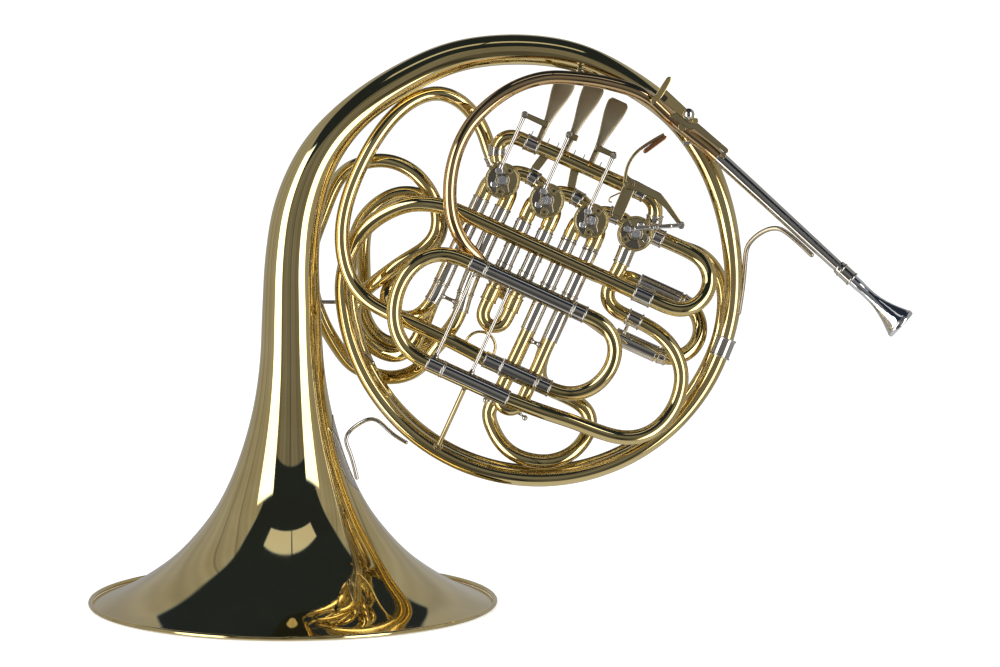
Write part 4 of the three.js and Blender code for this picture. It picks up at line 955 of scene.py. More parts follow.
class Bench:
    """Turns shells into pieces in the world and fits them to the frame."""

    def __init__(self) -> None:
        """Makes the finishes, and finds where the frame stands from the bell's rim."""
        self.made = {finish: finish.value[1].make() for finish in Finish}
        low, high = (np.array(corner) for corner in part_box("bell_rim"))
        foot = np.array([(low[0] + high[0]) / 2, (low[1] + high[1]) / 2, low[2]]) / MM
        cosine, sine = math.cos(HORN.lean), math.sin(HORN.lean)
        self.turn = np.array([[1, 0, 0], [0, cosine, sine], [0, -sine, cosine]])
        self.origin = foot - self.turn @ HORN.at([HORN.mouth])[0]
        self.count = 0

    def world(self, points: Array) -> Array:
        """Body millimetres as world metres."""
        return (points @ self.turn.T + self.origin) * MM

    def piece(
        self, name: str, shell: Shell, finish: Finish, body: str = "horn", nodes: Sequence[str] = (),
        sharp: float = 38.0,
    ) -> None:
        """Makes one piece.

        Args:
            name: The piece's name.
            shell: Its mesh in body millimetres.
            finish: Its finish.
            body: The frame's body that it rides on.
            nodes: The frame's nodes that it stands for.
            sharp: Edges that turn more than this many degrees stay crisp.
        """
        mesh = bpy.data.meshes.new(name)
        mesh.from_pydata(self.world(shell.vertices).tolist(), [], shell.faces)
        mesh.polygons.foreach_set("use_smooth", np.ones(len(mesh.polygons), dtype=bool))
        mesh.set_sharp_from_angle(angle=math.radians(sharp))
        mesh.materials.append(self.made[finish])
        mesh.update()
        piece = bpy.data.objects.new(name, mesh)
        bpy.context.scene.collection.objects.link(piece)
        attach(piece, body)
        if nodes:
            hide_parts(*nodes)
        self.count += 1
        log.info("%s on %s: %d vertices, %d faces", name, body, len(mesh.vertices), len(mesh.polygons))

    def tube(self, node: str, shell: Shell, body: str = "horn", finish: Finish = Finish.BRASS) -> None:
        """Makes the tube that is named after the frame's node that it stands for."""
        self.piece(f"{node}_tube", shell, finish, body, [node])


# Bell


@dataclass
class Bell:
    """The bell from its rim over the top of the body to the ring, as one skin."""

    mouth_radius: float = 153.0
    wall: float = 0.9
    joint_radius: float = 6.4
    joint_degrees: float = 19.2
    rim_wire: float = 1.75
    flare_stations: int = 200
    foot_lift: float = 0.25
    foot_thickness: float = 0.45
    flare: Table = (
        (0, 1), (0.035, 0.9), (0.075, 0.815), (0.14, 0.71), (0.23, 0.59), (0.34, 0.485),
        (0.48, 0.38), (0.68, 0.283), (0.95, 0.2), (1.2, 0.16), (1.47, 0.146),
    )
    tail: Table = (
        (293, 256, -1.47, 26.8), (300, 206, -1.7, 24.6), (321, 154, -1.75, 20.8), (356, 113, -1.6, 17.4),
        (406, 79, -1.4, 16.4), (457, 57, -1.2, 15.6), (520, 50, -0.92, 15.2), (577.5, 58, -0.7, 14.3),
        (632, 84, -0.47, 12.7), (674.6, 117, -0.3, 11.6), (706, 161, -0.15, 10.8), (724.5, 210, -0.05, 10),
        (733, 262, 0, 9.2), (732.9, 300, 0, 8.8), (729, 325, 0, 8.6),
    )
    leaf: Table = (
        (0.95, 88, 0.6), (0.92, 82, 5.5), (0.868, 78, 8.5), (0.77, 77, 9.5), (0.677, 76.5, 10), (0.61, 79, 8),
        (0.572, 86, 0.8),
    )

    def line(self) -> Array:
        """The bell's middle line and radius, smoothed: four numbers for each station, from mouth to joint."""
        foot = HORN.at([HORN.mouth])[0] + HORN.bell_up * 0.3
        shares = np.asarray(self.flare) * self.mouth_radius
        flare = np.concatenate([foot + shares[:, :1] * HORN.bell_up, shares[:, 1:]], axis=1)
        table = np.asarray(self.tail, dtype=float)
        tail = np.concatenate([HORN.at(table[:, :3]), table[:, 3:] * HORN.pixel], axis=1)
        degrees = self.joint_degrees
        joint = HORN.ring_arc(HORN.ring_radius - self.joint_radius, degrees, degrees, 0, 1)
        end = np.append(joint[0], self.joint_radius)[None]
        beyond = flare[0] + (flare[0] - flare[1]) * np.array([[3.0], [1.5]])
        beyond[:, 3] += (4.5, 1.2)
        stations = evenly(spline(np.concatenate([beyond, flare, tail, end])), 1.0)
        flat = eased(stations, 7.0, 1.0)
        flat = flat[(flat[:, :3] - foot) @ HORN.bell_up >= 0]
        return evenly(flat, 2.2)

    def skin(self) -> Shell:
        """Outside from the joint to the mouth, then inside from the mouth up into the throat."""
        line = self.line()
        ways = np.gradient(line[:, :3], axis=0)
        lengths = np.linalg.norm(ways, axis=1)
        ways[lengths < 1e-4] = HORN.bell_up
        ways = unit(ways)
        throat = int(np.argmin(np.abs((line[:, :3] - line[0, :3]) @ HORN.bell_up - 1.4 * self.mouth_radius)))
        inside = line[: throat + 1].copy()
        inside[:, 3] -= self.wall
        centres = np.concatenate([line[::-1, :3], inside[:, :3]])
        radii = np.concatenate([line[::-1, 3], inside[:, 3]])
        facing = np.concatenate([ways[::-1], ways[: throat + 1]])
        return rings(centres, -facing, radii, 128)

    def foot_plate(self) -> Shell:
        """The brace's long foot: a thin leaf bent over the flare, pointed at both ends.

        Each of its sections is an ellipse: the width goes round the flare by the cosine of an angle, and
        the thickness away from it by the sine.
        """
        sections, sides = 48, 24
        table = eased(np.asarray(self.leaf, dtype=float).repeat(4, axis=0), 2.0, 1.0)
        share, places = np.linspace(0, 1, sections), np.linspace(0, 1, len(table))
        heights, middle, width = (np.interp(share, places, column)[:, None] for column in table.T)
        line = self.line()[: self.flare_stations]
        rise = (line[:, :3] - line[0, :3]) @ HORN.bell_up
        radii = np.interp(heights * self.mouth_radius, rise, line[:, 3])
        around = np.linspace(0, 2 * math.pi, sides, endpoint=False)
        angle = np.radians(middle + np.degrees(width / radii) * np.cos(around))[..., None]
        outward = np.sin(angle) * RIGHT + np.cos(angle) * np.cross(RIGHT, HORN.bell_up)
        lifted = radii + self.foot_lift + self.foot_thickness * np.sin(around)
        foot = HORN.at([HORN.mouth])[0]
        points = foot + (heights * self.mouth_radius)[..., None] * HORN.bell_up + lifted[..., None] * outward
        faces = grid_faces(sections, sides).tolist()
        faces += [list(range(sides))[::-1], list(range((sections - 1) * sides, sections * sides))]
        return Shell(points.reshape(-1, 3), faces)

    def build(self, bench: Bench) -> None:
        """Makes the bell, its rim wire and the brace's foot."""
        bench.piece("bell_skin", self.skin(), Finish.BRASS, nodes=["bell"], sharp=50.0)
        foot = HORN.at([HORN.mouth])[0]
        centre = foot + HORN.bell_up * self.rim_wire
        rim = hoop(self.mouth_radius + 1.3, self.rim_wire, centre, HORN.bell_up, count=256)
        bench.piece("bell_rim_wire", rim, Finish.BRASS, nodes=["bell_rim"])
        bench.piece("bell_brace_foot", self.foot_plate(), Finish.NICKEL)


# Valves: where their ports are


@dataclass(frozen=True)
class ValveRow:
    """The four valves' places and their casings' sizes."""

    pitch: float = 36.8
    change_across: float = 108.3
    change_up: float = 5.2
    radius: float = 13.0
    front: float = -24.0
    rear: float = 22.0
    plate: float = 2.0
    front_level: float = -13.0
    rear_level: float = 11.0
    port: float = 9.0

    def centre(self, valve: int) -> tuple[float, float]:
        """Across and up of a valve's axis."""
        return (self.change_across, self.change_up) if valve == 3 else (valve * self.pitch, 0.0)

    def leg(self, valve: int, side: int, level: float, up: float) -> Array:
        """A point on one of the legs under a valve."""
        return HORN.on_row(valve * self.pitch + side * self.port, level, up)

    def leg_start(self, valve: int, side: int, level: float, radius: float) -> Array:
        """Where a leg leaves its casing."""
        reach = math.sqrt(self.radius**2 - (self.port - radius) ** 2)
        return self.leg(valve, side, level, -reach + 0.8)


ROW = ValveRow()
SLEEVE = 6.7
SLIDE = 5.69
LEG_SLEEVE = 6.2
LEG_SLIDE = 5.2
# The middle sleeve's depth, height above the valve row, left end and right end
MIDDLE_SLEEVE = (-27.5, -128.5, 43.3, 98.1)


def sleeve(start: Array, end: Array, radius: float = SLEEVE, inner: float = SLIDE) -> Shell:
    """A straight sleeve with a thin bead at each end."""
    profile = beaded(float(np.linalg.norm(end - start)), inner + 0.1, radius - 0.25, 0.35, 1.0)
    return turned(profile[:, ::-1], (start + end) / 2, end - start, 40)


def spool(start: Array, end: Array, inset: float = 4.6) -> Shell:
    """A short brace between two tubes, waisted like a spool.

    Args:
        start: A point on the first tube's middle line.
        end: A point on the other's.
        inset: From the middle lines to the brace's ends.

    Returns:
        The brace.
    """
    far = float(np.linalg.norm(end - start)) - inset
    half = [(2.9, 0.0), (2.9, 1.3), (2.1, 2.0), (1.5, 3.2)]
    profile = [(radius, inset + place) for radius, place in half]
    profile += [(radius, far - place) for radius, place in half[::-1]]
    return turned(profile, start, end - start, 24, 0.3)


def leg_sleeves(
    way: Way, end: tuple[float, float], band: tuple[float, float], tube: float, ending: int
) -> list[Shell]:
    """The sleeve of a leg from its elbow to a pixel, and the band of the bow from there to another.

    Args:
        way: The tube's line.
        end: Column and row where the sleeve ends.
        band: Column and row where the band ends.
        tube: The tube's radius.
        ending: -1 where the line ends at the valve, 1 where it starts there.

    Returns:
        Sleeve and band.
    """
    top = 6.5 if ending > 0 else way.length - 6.5
    near, far = way.near(*end), way.near(*band)
    return [
        collar(way, (top + near) / 2, abs(top - near), tube, 1.0),
        collar(way, (near + far) / 2, abs(near - far) - 0.4, tube, 0.7),
    ]


# Ring tubing and crooks


@dataclass
class RingTubing:
    """The long branch, the change valve's branch, the second branch and the ring's ferrule."""

    branch_radius: float = 5.8
    ring_radius: float = 6.4
    second_radius: float = 5.2
    straight_up: float = -35.2
    straight_back: float = -25.5
    straight_right: float = 134.8
    straight_left: float = -20.0
    bend_across: float = 153.5
    bend_top: float = 9.7
    joint_degrees: float = 19.2
    long_branch: Table = (
        (441, 206.5, -2.45), (412, 204.5, -1.9), (385, 214, -1.2), (363, 231, -0.6), (350, 251, -0.25),
    )
    second_start: Table = ((683, 247, 1.2), (702, 254, 1.3), (716, 268, 1.4), (724, 290, 1.4))
    second_end: Table = (
        (352, 250, 1.4), (360, 222, 1.4), (378, 202, 1.4), (400, 192, 1.4), (420, 194, 1.4),
        (435, 203, 1.4), (441, 215, 1.4), (440, 235, 1.4), (427, 252, 1.5), (408, 268, 1.6),
        (392, 281, 1.8), (385, 297, 1.5), (391, 311, 0.8), (405, 318, 0), (419, 315, -0.7),
        (431, 303, -1.2), (441, 284.5, -1.3), (452, 260.5, -1.3),
    )

    def long_way(self) -> Way:
        """The straight run, then three quarters round the ring."""
        start = HORN.on_row(self.straight_right, self.straight_back, self.straight_up)
        end = HORN.on_row(self.straight_left, self.straight_back, self.straight_up)
        arc = HORN.ring_arc(HORN.ring_radius - self.ring_radius, 180, self.joint_degrees, 0, 24)
        return Way.through(run(start, end), HORN.at(self.long_branch), arc)

    def change_way(self) -> Way:
        """Out of the change valve, round the bend at the right and back to the straight run."""
        top = HORN.on_row(self.bend_across, ROW.front_level - 0.9, self.bend_top)
        low = HORN.on_row(self.bend_across, self.straight_back, self.straight_up)
        port = HORN.on_row(ROW.change_across + ROW.radius - 1.2, ROW.front_level, self.bend_top)
        bulge = HORN.along_row * (self.bend_top - self.straight_up) / 2
        end = HORN.on_row(self.straight_right, self.straight_back, self.straight_up)
        return Way.through(port, half_turn(top, low, bulge, 9), end, ease=3.5)

    def second_way(self) -> Way:
        """From the back of the change valve round the ring, then over and back to the first valve."""
        port = HORN.on_row(ROW.change_across + ROW.radius - 1.2, ROW.rear_level, self.bend_top)
        return Way.through(
            port,
            HORN.at(self.second_start),
            HORN.ring_arc(143.6, 14, 180, 1.4, 16),
            HORN.at(self.second_end),
            ROW.leg_start(0, -1, ROW.front_level, self.second_radius),
        )

    def build(self, bench: Bench) -> None:
        """Makes the tubes and their ferrules."""
        long_way = self.long_way()
        bench.tube("long_branch", long_way.tube(self.branch_radius, self.ring_radius))
        change = self.change_way()
        bench.tube("change_branch", change.tube(self.branch_radius))
        second = self.second_way()
        bench.tube("second_branch", second.tube(self.second_radius))
        joint = collar(long_way, long_way.length, 15.5, 7.2, 0.4, 0.8)
        bench.piece("ring_ferrule_collar", joint, Finish.NICKEL, nodes=["ring_ferrule"])
        collars = [
            collar(long_way, 2.0, 15.0, self.branch_radius + 0.1),
            collar(change, 5.0, 9.0, self.branch_radius + 0.1),
            collar(second, 5.0, 8.0, self.second_radius + 0.1, 0.7),
            *leg_sleeves(second, (441, 283), (431, 300), self.second_radius, -1),
        ]
        bench.piece("branch_ferrules", joined(*collars), Finish.NICKEL)


@dataclass
class Crooks:
    """The bent tubes between the valves and the slides."""

    loop_radius: float = 5.4
    back_radius: float = 5.2
    crook_radius: float = 5.6
    bridge_radius: float = 5.6
    middle_radius: float = 7.1
    wide_sleeve: tuple[float, float] = (57.6, 86.2)
    narrow_end: float = 57.3
    narrow_radius: float = 6.6
    lower_sleeve_end: tuple[float, float, float] = (72.5, -37.5, -148.5)
    loop_spool: tuple[float, float] = (449, 299)
    tuning_ferrule: tuple[float, float] = (633.5, 319.2)
    behind_back: float = 24.0
    behind_up: float = -35.2
    rear_bow_up: float = -68.0
    bridge_aside: float = 9.5
    bridge_ferrules: Table = ((496, 152, 7.0), (532, 145, 11.0), (640, 193, 9.0))
    bottom_left: float = -145.0
    bottom_right: float = -108.0
    bottom_rise: Table = ((104.0, -129.0), (91.0, -128.0), (2 * ROW.pitch + ROW.port + 2.5, -120.0))
    long_loop: Table = (
        (487, 241, -1.3), (465, 294, -1.3), (460, 313, -1.3), (447, 335, -1.1), (432, 352, -0.4),
        (421, 366, 0.5), (409, 374, 1.4), (389, 378, 2.25), (375, 375, 2.65), (352, 366, 2.7),
        (335, 345, 2.7), (321, 320, 2.6), (311, 288, 2.4), (309, 255, 2.2), (320, 220, 1.8),
        (343, 172, 1.2), (369, 161, 0.8), (391, 161, 0.5), (414, 172, 0.3), (430, 191, 0.2),
        (437, 208, 0.2), (437, 232, 0.2), (427, 246, 0.3), (402, 262, 0.5), (385, 274, 0.9),
        (370, 286, 1.7), (356, 299, 2.5), (353, 316, 2.6), (362, 338, 2.6), (380, 352, 2.4),
        (398, 356, 1.8), (415, 343, 1.3), (426, 318, 1.1), (433, 300, 1.1), (441, 283, 1.1),
    )
    back_crook: Table = (
        (437, 205, 2.5), (418, 200, 2.5), (398, 200, 2.5), (380, 208, 2.55), (367, 222, 2.6),
        (363, 240, 2.8), (363, 286, 3.6), (361, 303, 3.6), (366, 322, 3.6), (377, 337, 3.4),
        (392, 344, 3), (415, 346, 2.6), (438, 340, 2.2), (452, 325, 1.5), (462, 308, 1.1),
        (468, 288, 1.1), (478, 262, 1.1),
    )
    inner_crook: Table = (
        (489, 149, 1), (485, 135, 0.9), (475, 116, 0.6), (458, 99.5, 0.2), (439, 93, -0.1),
        (419, 97.5, -0.5), (397, 113, -0.9), (377, 138, -1.2), (360, 169, -1.4), (349, 197, -1.5),
        (343, 225, -1.6), (343.5, 253, -1.7), (352, 281, -1.85), (369, 301, -2.05), (388, 312, -2.35),
        (406, 320, -2.6), (441, 336, -2.75),
    )
    tuning_crook: Table = (
        (619, 268, -1.3), (609, 286, -1.3), (606, 298, -1.3), (612, 308, -1.3), (632, 318.5, -1.3),
        (649, 327, -1.3), (664, 338, -1.35), (675, 353, -1.4), (681, 373, -1.5), (679, 392, -1.65),
        (671, 411, -1.85), (657, 427, -2.1), (639, 436, -2.4), (618, 436.5, -2.7), (596, 430, -3),
        (571, 420.5, -3.35), (545, 412, -3.65),
    )
    bridge: Table = (
        (496, 152, -1.35), (501, 140.5, -1.55), (512, 137, -1.65), (532, 145, -1.7), (556, 155, -1.7),
        (606, 177.5, -1.7), (628, 187.5, -1.7), (646, 196, -1.65), (655, 207, -1.45),
    )
    bottom_crook: Table = (
        (488, 412, 1.1), (492, 427, 1.1), (500, 442, 0.9), (513, 454, 0.55), (531, 460.5, 0.35),
        (551, 461.5, 0.35), (571, 454, 0.55), (584, 441, 0.9), (591, 425, 1.1), (588, 411, 1.1),
        (577, 402, 1.1),
    )

    def build(self, bench: Bench) -> None:
        """Makes each crook with its ferrules."""
        collars = self.loop_pieces(bench)
        back = self.back_way()
        bench.tube("back_crook", back.tube(self.back_radius))
        collars += leg_sleeves(back, (480, 256), (474, 270), self.back_radius, -1)
        inner, sleeve_shell = self.inner()
        bench.tube("inner_crook", inner.tube(self.crook_radius))
        bench.piece("middle_slide_sleeve", sleeve_shell, Finish.NICKEL)
        tuning = self.tuning_way()
        bench.tube("tuning_crook", tuning.tube(self.crook_radius))
        collars += [
            collar(inner, 6.0, 7.0, self.crook_radius, 0.7),
            collar(tuning, 7.0, 13.0, self.crook_radius, 0.8),
            collar(tuning, tuning.near(*self.tuning_ferrule), 12.0, self.crook_radius, 0.4, 0.8),
        ]
        bridge, places = self.bridge_way()
        smooth = bridge.tube(self.bridge_radius)
        bench.piece("bridge_tube_smooth", smooth, Finish.BRASS, nodes=["bridge_tube"])
        collars += [collar(bridge, place, length, self.bridge_radius, 0.75) for place, length in places]
        bottom = self.bottom_way()
        bench.tube("bottom_crook", bottom.tube(self.crook_radius))
        rear = self.rear_bow()
        bow = rear.tube(self.crook_radius)
        bench.piece("second_rear_bow_tube", bow, Finish.BRASS, nodes=["second_valve_rear_bow"])
        for way, inset, length in ((bottom, 5.5, 8.0), (rear, 22.0, 22.0)):
            for place in (inset, way.length - inset):
                collars.append(collar(way, place, length, self.crook_radius, 0.6))
        bench.piece("crook_ferrules", joined(*collars), Finish.NICKEL)

    def loop_pieces(self, bench: Bench) -> list[Shell]:
        """Makes the long loop, and returns the sleeves, bands and spool at its two ends."""
        loop = Way.through(
            ROW.leg_start(0, 1, ROW.front_level, self.loop_radius),
            HORN.at(self.long_loop),
            ROW.leg_start(0, -1, ROW.rear_level, self.loop_radius),
        )
        bench.tube("long_loop", loop.tube(self.loop_radius))
        half = loop.length / 2
        start, end = Way(loop.points[loop.places < half]), Way(loop.points[loop.places >= half])
        across, up = HORN.in_row(*self.loop_spool)
        aside = np.array([-11.0, 11.0])
        return [
            *leg_sleeves(start, (465, 294), (464, 312), self.loop_radius, 1),
            *leg_sleeves(end, (452, 257), (446, 271), self.loop_radius, -1),
            spool(*HORN.on_row(across + aside, ROW.front_level, up)),
        ]

    def tuning_way(self) -> Way:
        """From below the change valve round to the lower sleeve's end."""
        return Way.through(
            HORN.on_row(ROW.change_across - 1.0, ROW.front_level, ROW.change_up - ROW.radius + 1.0),
            HORN.at(self.tuning_crook),
            HORN.on_row(*self.lower_sleeve_end),
        )

    def back_way(self) -> Way:
        """From the main slide behind the legs, round at the left and back to the first valve."""
        slide = MainSlide()
        return Way.through(
            slide.upper(126.1),
            slide.upper(116.4),
            HORN.on_row(100.4, self.behind_back, self.behind_up),
            run(*HORN.on_row(np.array([84.0, -18.0]), self.behind_back, self.behind_up)),
            HORN.at(self.back_crook),
            ROW.leg_start(0, 1, ROW.rear_level, self.back_radius),
        )

    def inner(self) -> tuple[Way, Shell]:
        """The inner crook from the rear of the first valve, and the sleeve that it ends in."""
        back, up, left, _ = MIDDLE_SLEEVE
        angle = math.radians(137)
        port = HORN.on_row(12.0 * math.cos(angle), ROW.rear_level, 12.0 * math.sin(angle))
        way = Way.through(port, HORN.at(self.inner_crook), HORN.on_row(left + 2.0, back, up))
        wide = sleeve(*HORN.on_row(np.array(self.wide_sleeve), back, up), self.middle_radius)
        narrow = sleeve(*HORN.on_row(np.array([left, self.narrow_end]), back, up), self.narrow_radius)
        return way, joined(wide, narrow)

    def bridge_way(self) -> tuple[Way, list[tuple[float, float]]]:
        """The bridge over the levers, and the places and lengths of its ferrules."""
        aside = self.bridge_aside
        reach = math.sqrt(ROW.radius**2 - (aside - self.bridge_radius) ** 2) - 0.6
        way = Way.through(
            HORN.on_row(-aside, ROW.front_level, reach),
            HORN.at(self.bridge),
            HORN.on_row(ROW.change_across + aside, ROW.front_level, ROW.change_up + reach),
            ease=3.5,
        )
        places = [(way.near(column, row), length) for column, row, length in self.bridge_ferrules]
        return way, places + [(way.length - 4.0, 7.0)]

    def bottom_way(self) -> Way:
        """The rear legs of the third valve and the loop below them."""
        across, up = np.array(self.bottom_rise).T
        return Way.through(
            ROW.leg_start(2, -1, ROW.rear_level, self.crook_radius),
            ROW.leg(2, -1, ROW.rear_level, self.bottom_left),
            HORN.at(self.bottom_crook),
            HORN.on_row(across, ROW.rear_level, up),
            ROW.leg(2, 1, ROW.rear_level, self.bottom_right),
            ROW.leg_start(2, 1, ROW.rear_level, self.crook_radius),
        )

    def rear_bow(self) -> Way:
        """The rear bow of the second valve."""
        return Way.through(
            ROW.leg_start(1, -1, ROW.rear_level, self.crook_radius),
            half_turn(
                ROW.leg(1, -1, ROW.rear_level, self.rear_bow_up),
                ROW.leg(1, 1, ROW.rear_level, self.rear_bow_up), HORN.up_row * -ROW.port, 9,
            ),
            ROW.leg_start(1, 1, ROW.rear_level, self.crook_radius),
            ease=2.5,
        )


# Slides


@dataclass
class MainSlide:
    """The main tuning slide at the right: two sleeves, the stay to the tuning crook and the bow."""

    low: float = -71.2
    high: float = -26.0
    left: float = 126.4
    right: float = 161.0
    front_back: float = 4.0
    rear_back: float = 20.0
    legs: float = 25.0
    stay: float = 132.5
    stay_end: tuple[float, float, float] = (628.5, 322.0, -0.95)

    def lower(self, across: float) -> Array:
        """A point on the lower leg's line."""
        return HORN.on_row(across, self.front_back, self.low)

    def upper(self, across: float) -> Array:
        """A point on the upper leg's line."""
        return HORN.on_row(across, self.rear_back, self.high)

    def build(self, bench: Bench) -> None:
        """Makes the sleeves and the bow."""
        sleeves = [sleeve(line(self.left), line(self.right)) for line in (self.lower, self.upper)]
        stay = wire(np.stack([self.lower(self.stay), HORN.at([self.stay_end])[0]]), 1.45)
        outer = joined(*sleeves, stay)
        bench.piece("main_slide_outer", outer, Finish.NICKEL, nodes=["main_slide_sleeves"])
        bulge = HORN.along_row * (self.high - self.low) / 2
        turn = half_turn(self.lower(self.right + 2), self.upper(self.right + 2), bulge, 11)[1:-1]
        bow = Way.through(
            run(self.lower(self.right - self.legs), self.lower(self.right + 2)),
            turn,
            run(self.upper(self.right + 2), self.upper(self.right - self.legs)),
            ease=3.0,
        )
        bench.tube("main_slide_bow", bow.tube(SLIDE), "main_slide_bow")
        bands = [collar(bow, place, 6.0, SLIDE, 0.55) for place in (29.5, bow.length - 29.5)]
        bench.piece("main_slide_bow_bands", joined(*bands), Finish.NICKEL, "main_slide_bow")


@dataclass
class FrontSlides:
    """The front tuning slides with their bows and stays."""

    back: float = -37.5
    up: float = -66.8
    left: float = 3.3
    right: float = 99.3
    left_legs: float = 45.0
    right_legs: float = 38.0
    lower_up: float = -148.5
    lower_left: float = 5.2
    lower_right: float = 72.2
    stays: tuple[float, float] = (9.5, 39.0)
    foot_up: float = -203.0
    foot_back: float = -9.1
    left_bow: Table = (
        (456, 257, -3.75), (441, 254.5, -3.75), (426, 258, -3.75), (411, 269, -3.75), (400, 287, -3.75),
        (395, 309, -3.75), (397, 330, -3.75), (405, 346, -3.75), (417, 356.5, -3.75),
    )
    right_bow: Table = (
        (598, 321, -3.72), (608, 330, -3.65), (614, 343, -3.5), (613.5, 358, -3.35), (608, 371, -3.15),
        (597, 384, -2.95), (582, 392, -2.8), (566, 393.5, -2.75),
    )

    def upper(self, across: float) -> Array:
        """A point on the upper sleeve's line."""
        return HORN.on_row(across, self.back, self.up)

    def lower(self, across: float) -> Array:
        """A point on the lower sleeve's line."""
        return HORN.on_row(across, self.back, self.lower_up)

    def between(self, across: float) -> Array:
        """A point on the middle sleeve's line."""
        return HORN.on_row(across, *MIDDLE_SLEEVE[:2])

    def neck(self, start: Array, end: Array) -> Shell:
        """A sleeve's narrow end, which the bow's band covers at rest.

        Args:
            start: Its outer end.
            end: Where the wide sleeve takes over.

        Returns:
            The narrow sleeve.
        """
        length = float(np.linalg.norm(end - start))
        profile = [(SLIDE, 0), (SLIDE + 0.4, 0.1), (SLIDE + 0.4, length), (SLIDE, length)]
        return turned(profile, start, end - start, 32, 0.1)

    def stay_foot(self, point: Array, way: Array) -> Shell:
        """A stay's flared foot where it meets a sleeve."""
        profile = [(2.9, -0.6), (2.7, 0.4), (1.9, 1.6), (1.55, 3.0), (1.5, 4.0)]
        return turned(profile, point + unit(way) * (SLEEVE - 0.5), way, 20)

    def build(self, bench: Bench) -> None:
        """Makes sleeves, stays and both bows."""
        parts = [
            sleeve(self.upper(17.0), self.upper(88.3)),
            sleeve(self.lower(18.7), self.lower(self.lower_right)),
            self.neck(self.upper(self.left + 0.8), self.upper(17.2)),
            self.neck(self.lower(self.lower_left + 0.8), self.lower(18.9)),
        ]
        for across in self.stays:
            top, low = self.upper(across), self.lower(across)
            rod = wire(np.stack([top, low]), 1.4)
            parts += [rod, self.stay_foot(top, low - top), self.stay_foot(low, top - low)]
        foot = HORN.on_row(self.stays[1], self.foot_back, self.foot_up)
        start = self.lower(self.stays[1])
        stay = [
            wire(np.stack([start, foot + BACK]), 1.85),
            self.stay_foot(start, foot - start),
            pin(3.4, 2.4, foot, BACK),
            pin(2.0, 0.9, foot - BACK * 0.8, BACK),
        ]
        bench.piece("front_slide_long_stay", joined(*stay), Finish.KHAKI)
        bench.piece("front_slide_outer", joined(*parts), Finish.NICKEL, nodes=["front_slide_sleeves"])
        left = Way.through(
            run(self.upper(self.left + self.left_legs), self.upper(self.left - 2)),
            HORN.at(self.left_bow),
            run(self.lower(self.lower_left - 2), self.lower(self.lower_left + self.left_legs)),
        )
        right = Way.through(
            run(self.upper(self.right - self.right_legs), self.upper(self.right + 2)),
            HORN.at(self.right_bow),
            run(self.between(MIDDLE_SLEEVE[3] + 2), self.between(MIDDLE_SLEEVE[3] - self.right_legs)),
        )
        for body, way, legs, first, last in (
            ("left_tuning_bow", left, self.left_legs, 13.5, 13.3),
            ("right_tuning_bow", right, self.right_legs, 10.8, 11.6),
        ):
            bench.tube(body, way.tube(SLIDE), body)
            spots = ((legs - first / 2, first), (way.length - legs + last / 2, last))
            bands = [collar(way, place, length, SLIDE, 0.8) for place, length in spots]
            bench.piece(f"{body}_bands", joined(*bands), Finish.NICKEL, body)


